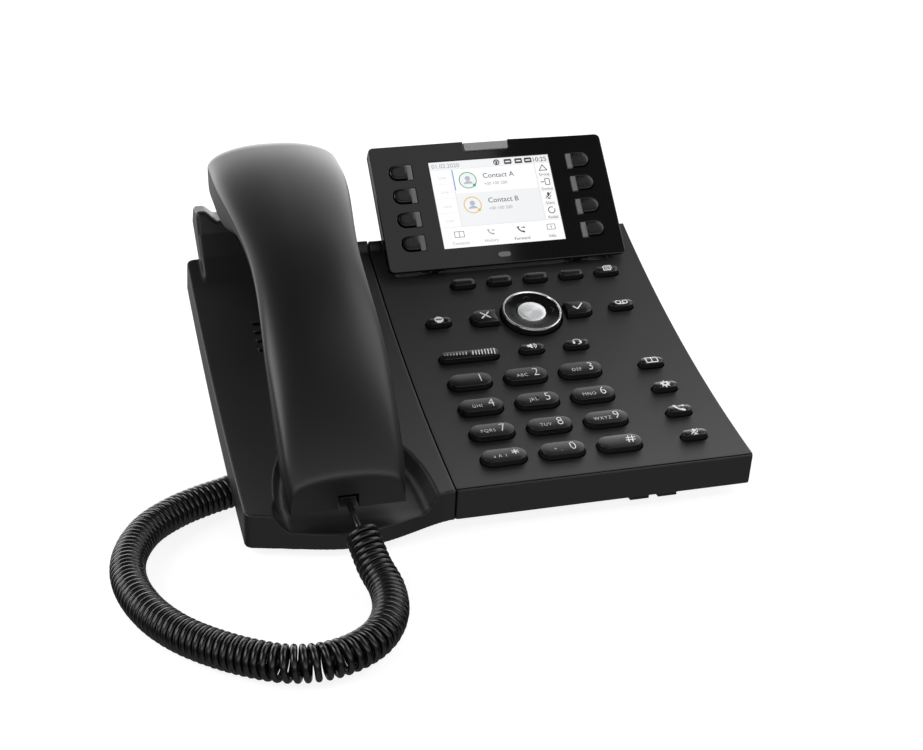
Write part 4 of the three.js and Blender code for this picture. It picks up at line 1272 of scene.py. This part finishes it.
PATH = np.array([(-5, -4), (19, 50), (69, 92), (160, 95)], float)  # the crease's, in y and z
CAP = 0.07  # the share of the path in which the ear end closes
MOUTH_Y, MOUTH_Z = -4.0, 0.4
NOTCH_HALF, NOTCH_TOP, NOTCH_BACK = 4.1, 6.0, 8.0
NOTCH_LEFT, NOTCH_RIGHT = HANDSET_X - NOTCH_HALF, HANDSET_X + NOTCH_HALF


def bezier(t):
    t = np.asarray(t, float)[:, None]
    a, b, c, d = PATH
    place = (1 - t) ** 3 * a + 3 * (1 - t) ** 2 * t * b + 3 * (1 - t) * t * t * c + t**3 * d
    along = 3 * (1 - t) ** 2 * (b - a) + 6 * (1 - t) * t * (c - b) + 3 * t * t * (d - c)
    return place, along / np.linalg.norm(along, axis=1)[:, None]


def handset_skin(side, rows, columns):
    """(points, faces) of one shell: side 1 is the outer one, above the crease, and -1 the inner."""
    fine = np.linspace(0, 1, 2001)
    lengths = distances(bezier(fine)[0])
    total = lengths[-1]
    end = 1 - CAP * (1 - np.linspace(0, 1, rows // 4)[1:]) ** 2.2
    end[-1] = 1 - 1e-5
    share = np.concatenate([np.linspace(0, 1 - CAP, rows), end])
    place, along = bezier(np.interp(share * total, lengths, fine))
    k = np.clip((1 - share) * total / 15, 0, 1)
    close = (1 - (1 - k) ** 2.1) ** (1 / 2.1)
    step = smooth_step
    wide = 22.2 + 1.4 * step(0.02, 0.12, share) - 1.5 * step(0.3, 0.5, share) + 5.9 * step(0.52, 0.86, share)
    half = close * wide
    crown = close * (7.2 - step(0.0, 0.3, share) + 2 * step(0.6, 0.9, share))
    depth = close * (16 - 4.5 * step(0.2, 0.38, share) + 7.5 * step(0.66, 0.8, share))
    angle = np.linspace(0, math.pi, columns)
    c, s = np.cos(angle), np.sin(angle)
    if side > 0:
        # The outer face is a shallow vault, which stands on low walls towards the mouth end.
        out = np.abs(c) ** 0.8
        across = half[:, None] * np.sign(c) * out
        wall = (0.12 + 0.43 * (1 - step(0.04, 0.34, share)))[:, None]
        vault = (1 - wall) * (1 - out**2.3) ** 0.62 + wall * (1 - out**16) ** 0.5
        off = crown[:, None] * vault + 0.12 * close[:, None]
    else:
        power = 3.4 - step(0.2, 0.4, share) + 2.4 * step(0.62, 0.8, share)
        across = half[:, None] * np.sign(c) * np.abs(c) ** (2 / power[:, None])
        off = np.maximum(depth[:, None] * s ** (2 / power[:, None]), 0.12 * close[:, None])
    # A lip turns inwards at the crease, so the two shells meet in a fine groove.
    lip = np.minimum(1.2, 0.5 * half)[:, None]
    across = np.hstack([across[:, :1] - lip, across, across[:, -1:] + lip])
    off = np.hstack([off[:, :1], off, off[:, -1:]]) * side
    x = HANDSET_X + across
    y = place[:, :1] - along[:, 1:] * off
    z = place[:, 1:] + along[:, :1] * off
    y = smax(y, np.full_like(y, MOUTH_Y), 1.1)
    z = smax(z, np.full_like(z, MOUTH_Z), 1.2)
    n, m = x.shape
    points = np.stack([x, y, z], -1).reshape(-1, 3)
    faces = []
    for i in range(n - 1):
        for j in range(m - 1):
            a = i * m + j
            faces.append((a, a + m, a + m + 1, a + 1)[::side])
    if side < 0:
        faces.append(tuple(range(m)))
    return points, faces


def without_notch(shape):
    """The shape with the cord's notch cut out of it."""
    mesh = to_bmesh(shape)
    planes = [((NOTCH_LEFT, 0, 0), (1, 0, 0)), ((NOTCH_RIGHT, 0, 0), (1, 0, 0))]
    planes += [((0, 0, NOTCH_TOP), (0, 0, 1)), ((0, NOTCH_BACK, 0), (0, 1, 0))]
    for at, normal in planes:
        near = [f for f in mesh.faces if f.calc_center_median().y < 14 and f.calc_center_median().z < 12]
        geometry = list({*near, *(e for f in near for e in f.edges), *(v for f in near for v in f.verts)})
        bmesh.ops.bisect_plane(mesh, geom=geometry, plane_co=at, plane_no=normal, dist=1e-5)
    gone = []
    for f in mesh.faces:
        x, y, z = f.calc_center_median()
        if NOTCH_LEFT < x < NOTCH_RIGHT and z < NOTCH_TOP and y < NOTCH_BACK:
            gone.append(f)
    bmesh.ops.delete(mesh, geom=gone, context="FACES")
    return from_bmesh(mesh)


def handset():
    rows = 90 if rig.quick() else 170
    for name, side, shell in (("crown", 1, "outer"), ("back", -1, "inner")):
        skin = without_notch(handset_skin(side, rows, 64))
        replaced = (f"handset_{shell}_shell",)
        piece("handset_" + name, skin, from_level, [HANDSET], "handset", replaced, "shell", sharp=50)
    corners = [
        (x, y, z) for x in (NOTCH_LEFT, NOTCH_RIGHT) for y in (MOUTH_Y + 0.15, NOTCH_BACK)
        for z in (MOUTH_Z + 0.1, NOTCH_TOP)
    ]
    walls = [(0, 1, 3, 2), (4, 6, 7, 5), (1, 5, 7, 3), (2, 3, 7, 6)]
    # The notch's walls are painted near black: painted shade for the shadow inside the notch, darker than the
    # handset's own plastic.
    piece("cord_notch", (corners, walls), from_level, [DARK_MARK_AND_SHADE], "handset", (), "shell", sharp=30)


# ---- display ------------------------------------------------------------------------------

SCREEN = (32.4, 90.0, 9.6, 53.2)  # left, right, bottom and top
BEZEL_LEFT, BEZEL_RIGHT, BEZEL_TOP = 5.3, 117.3, 62.1
BEZEL_ARCH = 0.75  # how far the bezel's top edge is arched
BEZEL_CORNER = 2.4
ROWS_R = [49 - 11.87 * i for i in range(4)]
LINE_KEY_REACH, LINE_KEY_RADIUS = 7.9, 3.3
LINE_KEY_U = {-1: 21.4, 1: 101.2}  # the straight edge of the line keys on each side
LIGHT_U = 61.3  # the message light's middle


def on_display(name, shape, material, replaces, slot, sharp):
    return piece(name, shape, from_display, [material], "display_head", replaces, slot, sharp)


def line_key_outline(side, grow=0.0):
    r = LINE_KEY_RADIUS + grow
    points = [(-grow, -r), *arc(LINE_KEY_REACH - LINE_KEY_RADIUS, 0, r, -90, 90, 12), (-grow, r)]
    return points if side > 0 else [(-x, y) for x, y in points][::-1]


def arch(u):
    """The height of the bezel's top edge."""
    return BEZEL_TOP + BEZEL_ARCH * (1 - float(smooth_step(50, 117, u)))


def both_sides(half):
    """An outline's left half, with its mirror image across the message light's middle."""
    return half + [(2 * LIGHT_U - u, r) for u, r in reversed(half)]


def bezel():
    """The display's front frame, with a notch for the message light at its top."""
    notch = both_sides([(50.4, BEZEL_TOP), (50.4, 58.6), (50.9, 57.8), (51.6, 57.6)])
    notch = [(u, arch(u) if r == BEZEL_TOP else r) for u, r in notch]
    left, right = BEZEL_LEFT + BEZEL_CORNER, BEZEL_RIGHT - BEZEL_CORNER
    rim = (
        arc(right, BEZEL_CORNER, BEZEL_CORNER, -90, 0, 6)
        + arc(right, BEZEL_TOP - BEZEL_CORNER, BEZEL_CORNER, 0, 90, 6)
        + [(u, arch(u)) for u in np.linspace(112, 76, 7)]
        + notch[::-1]
        + arc(left, 62.65 - BEZEL_CORNER, BEZEL_CORNER, 90, 180, 6)
        + arc(left, BEZEL_CORNER, BEZEL_CORNER, 180, 270, 6)
    )
    holes = [rectangle(*SCREEN)]
    for side, u in LINE_KEY_U.items():
        # Each opening runs on, under the lamp beside the key.
        shape = [(x if abs(x) > 0.5 else 2.55 * -side, y) for x, y in line_key_outline(side, 0.35)]
        holes += [shifted(shape, u, r) for r in ROWS_R]
    points, faces = plate([rim, *holes], -3.5, 0, bevel=0.45, resolution=3)
    # Its lower edge is chamfered underneath, to clear the deck as it tilts.
    points[:, 2] = np.maximum(points[:, 2], -1.7 - 0.45 * np.maximum(points[:, 1], 0))
    weighted(on_display("bezel", (points, faces), BEZEL, ("display_bezel",), "gloss_black", 60))


def line_keys():
    levels = [(0, -2.4), (0, 0.45), (-0.12, 0.7), (-0.4, 0.84), (-1.2, 0.9), (-2.8, 0.9)]
    for side, word in ((-1, "left"), (1, "right")):
        for i, r in enumerate(ROWS_R):
            rings = [
                [(x, y, z) for x, y in shifted(line_key_outline(side, grow), LINE_KEY_U[side], r)]
                for grow, z in levels
            ]
            name = f"line_key_{word}_{i + 1}"
            shape = loft(rings, close_end=True)
            piece(name + "_cap", shape, from_display, [KEY], name, (name,), "gloss_black", sharp=50)


def display():
    bezel()
    line_keys()
    lamps = Build()
    for side, u in LINE_KEY_U.items():
        ends = sorted((u - side * 0.15, u - side * 2.6))
        for r in ROWS_R:
            lamps.add(plate([rectangle(*ends, r - 3.68, r + 3.68)], -2.5, -0.03, bevel=0.06, resolution=1))
    on_display("line_lamps", lamps, LAMP, (), "light", 40)
    outline = both_sides([(50.7, BEZEL_TOP), (50.75, 58.7), (51.2, 58.1), (51.8, 57.95)])
    lens = plate([outline], -6.9, -0.05, bevel=0.4, resolution=3)
    on_display("message_lens", lens, LIGHT, ("message_light",), "light", 50)
    sensor = plate([shifted(stadium(5.9, 2.4), 59.6, 4.5)], -0.4, 0.06, bevel=0.05, resolution=1)
    on_display("light_sensor", sensor, LAMP, (), "light", 40)
    picture()


PICTURE = {
    "paper": (0.87, 0.88, 0.9),
    "white": (0.98, 0.98, 0.99),
    "line": (0.62, 0.64, 0.66),
    "dark": (0.05, 0.05, 0.06),
    "grey": (0.33, 0.35, 0.37),
    "blue": (0.08, 0.22, 0.6),
    "green": (0.03, 0.38, 0.16),
    "yellow": (0.75, 0.5, 0.1),
    "figure": (0.45, 0.5, 0.56),
}
COLUMN_LEFT, COLUMN_RIGHT = 0.17, 0.875  # the side columns' inner edges, as shares of the width
TABS_TOP, STATUS_BOTTOM = 0.237, 0.905
CELL = 0.167  # the height of a cell of the side columns


def picture():
    """The lit picture on the display: a status line, two contacts, tabs and icons."""
    left, right, bottom, top = SCREEN
    index = {colour: i for i, colour in enumerate(PICTURE)}
    build = Build()

    def at(x, y):
        return left + x * (right - left), bottom + y * (top - bottom)

    def place(shape, colour):
        """Each shape lies a little above the one before it."""
        points, faces = shape
        points = np.array(points, float).reshape(-1, 3)
        points[:, 2] = -0.3 + 0.0016 * (len(build.parts) + 1)
        build.add((points, faces), index[colour])

    def panel(x0, x1, y0, y1, colour):
        (a, b), (c, d) = at(x0, y0), at(x1, y1)
        place(blob(rectangle(a, c, b, d)), colour)

    def rule(x0, y0, x1, y1, width, colour="line"):
        place(ribbon([at(x0, y0), at(x1, y1)], width), colour)

    def mark(shape, x, y, scale=1.0, colour="dark"):
        place(moved(shape, *at(x, y), scale), colour)

    def outlined(outline, width, x, y, scale=1.0, colour="dark"):
        mark(ribbon(outline, width, closed=True), x, y, scale, colour)

    def word(text, size, x, y, colour="dark"):
        mark(lettering(text, size, weight=0.004), x, y, 1.0, colour)

    panel(0, 1, 0, 1, "paper")
    panel(0, COLUMN_LEFT, 0.24, STATUS_BOTTOM, "white")
    panel(0.18, 0.865, 0.62, STATUS_BOTTOM, "white")
    panel(COLUMN_RIGHT, 1, 0.24, STATUS_BOTTOM, "white")
    panel(0, 1, 0, 0.235, "white")
    for x in (0.175, 0.87):
        rule(x, 0.235, x, STATUS_BOTTOM, 0.14)
    rule(0, TABS_TOP, 1, TABS_TOP, 0.14)
    rule(0, STATUS_BOTTOM, 1, STATUS_BOTTOM, 0.1)
    for i in (1, 2, 3):
        y = TABS_TOP + i * CELL
        rule(0, y, COLUMN_LEFT, y, 0.12)
        rule(COLUMN_RIGHT, y, 1, y, 0.12)
    rule(0.182, 0.66, 0.182, 0.895, 0.4, "blue")
    for i, text in enumerate(("Group", "Device", "Silent", "Redial")):
        word("Line", 1.6, 0.09, 0.815 - CELL * i, "line")
        word(text, 1.45, 0.937, 0.765 - CELL * i)
    for i, text in enumerate(("Contacts", "History", "Forward", "Info")):
        word(text, 1.6, 0.14 + 0.253 * i, 0.05, "dark" if i > 1 else "grey")
    word("10:25", 2.4, 0.925, 0.95)
    word("01.02.2020", 2.2, 0.135, 0.95, "grey")
    mark(blob(circle(1.5, 20)), 0.56, 0.95)
    mark(ICONS["headset"], 0.56, 0.95, 0.55, "white")
    for x in (0.655, 0.745, 0.825):
        mark(blob(rounded(-1.8, 1.8, -1.3, 1.3, 0.4)), x, 0.95)
        mark(ribbon([(-0.9, 0), (0.9, 0)], 0.6), x, 0.95, colour="white")
    for y, ring, name in ((0.765, "green", "Contact A"), (0.475, "yellow", "Contact B")):
        outlined(circle(4.0, 40), 0.45, 0.295, y, colour=ring)
        mark(blob(circle(3.6, 40)), 0.295, y, colour="paper")
        mark(blob(circle(1.25, 24, 0, 0.9)), 0.295, y, colour="figure")
        mark(blob(arc(0, -2.9, 2.5, 25, 155, 16)), 0.295, y, colour="figure")
        mark(blob(circle(0.75, 16, 2.7, -2.7)), 0.295, y, colour=ring)
        word(name, 2.6, 0.555, y + 0.04)
        word("+00 100 200", 1.6, 0.52, y - 0.055, "grey")
    outlined([(-1.5, -1), (1.5, -1), (0, 1.3)], 0.3, 0.935, 0.845, 1.25)
    outlined(rounded(-0.9, 0.9, -1.3, 1.3, 0.3), 0.3, 0.95, 0.68, 1.2)
    mark(ribbon([(-2.6, 0), (-1.4, 0)], 0.35), 0.95, 0.68, 1.2)
    mark(ICONS["microphone"], 0.935, 0.515)
    mark(ribbon(arc(0, 0, 1.2, 60, 380, 16), 0.3), 0.935, 0.345, 1.3)
    outlined(BOOK[0], 0.25, 0.14, 0.15)
    mark(ribbon(BOOK[1], 0.25), 0.14, 0.15)
    mark(ICONS["receiver"], 0.4, 0.15, 0.75, "grey")
    mark(ICONS["receiver"], 0.65, 0.15, 0.85)
    outlined(rounded(-1.9, 1.9, -1.2, 1.4, 0.3), 0.25, 0.9, 0.15)
    mark(ribbon([(0, -0.5), (0, 0.7)], 0.3), 0.9, 0.15)

    edge = rectangle(left + 0.1, right - 0.1, bottom + 0.1, top - 0.1)
    build.add(plate([edge], -2.2, -0.3, bevel=0.1, resolution=1), index["dark"])
    materials = [lit("picture_" + name, colour) for name, colour in PICTURE.items()]
    piece(
        "display_picture", build, from_display, materials, "display_head", ("lcd_module",), "screen", sharp=30
    )


# ---- carried-over CAD nodes ---------------------------------------------------------------

CAD_LOOKS = {
    "lower_housing": UNDERSIDE,
    "desk_stand": UNDERSIDE,
    "display_rear_cover": UNDERSIDE,
    "front_foot_strip": RUBBER,
    "hook_plunger": GLOSS,
    "main_board": BOARD,
    "loudspeaker": STEEL,
    "earpiece_capsule": STEEL,
    "nav_carrier_plate": STEEL,
    "handset_plug": PLUG,
    "base_plug": PLUG,
}


def carried_nodes():
    for name, material in CAD_LOOKS.items():
        mesh = NODES[name].data
        mesh.materials.clear()
        mesh.materials.append(material)
        mesh.shade_smooth()
        mesh.set_sharp_from_angle(angle=math.radians(35))


camera()
cord()
studio()
faceplate()
housing()
cradle()
deck_keys()
navigation_key()
volume_rocker()
display()
handset()
carried_nodes()

visual_low, visual_high = (list(corner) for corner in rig.bounds())
with open("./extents.json", "w") as out:
    json.dump({"cad": [cad_low, cad_high], "visual": [visual_low, visual_high]}, out, indent=1)
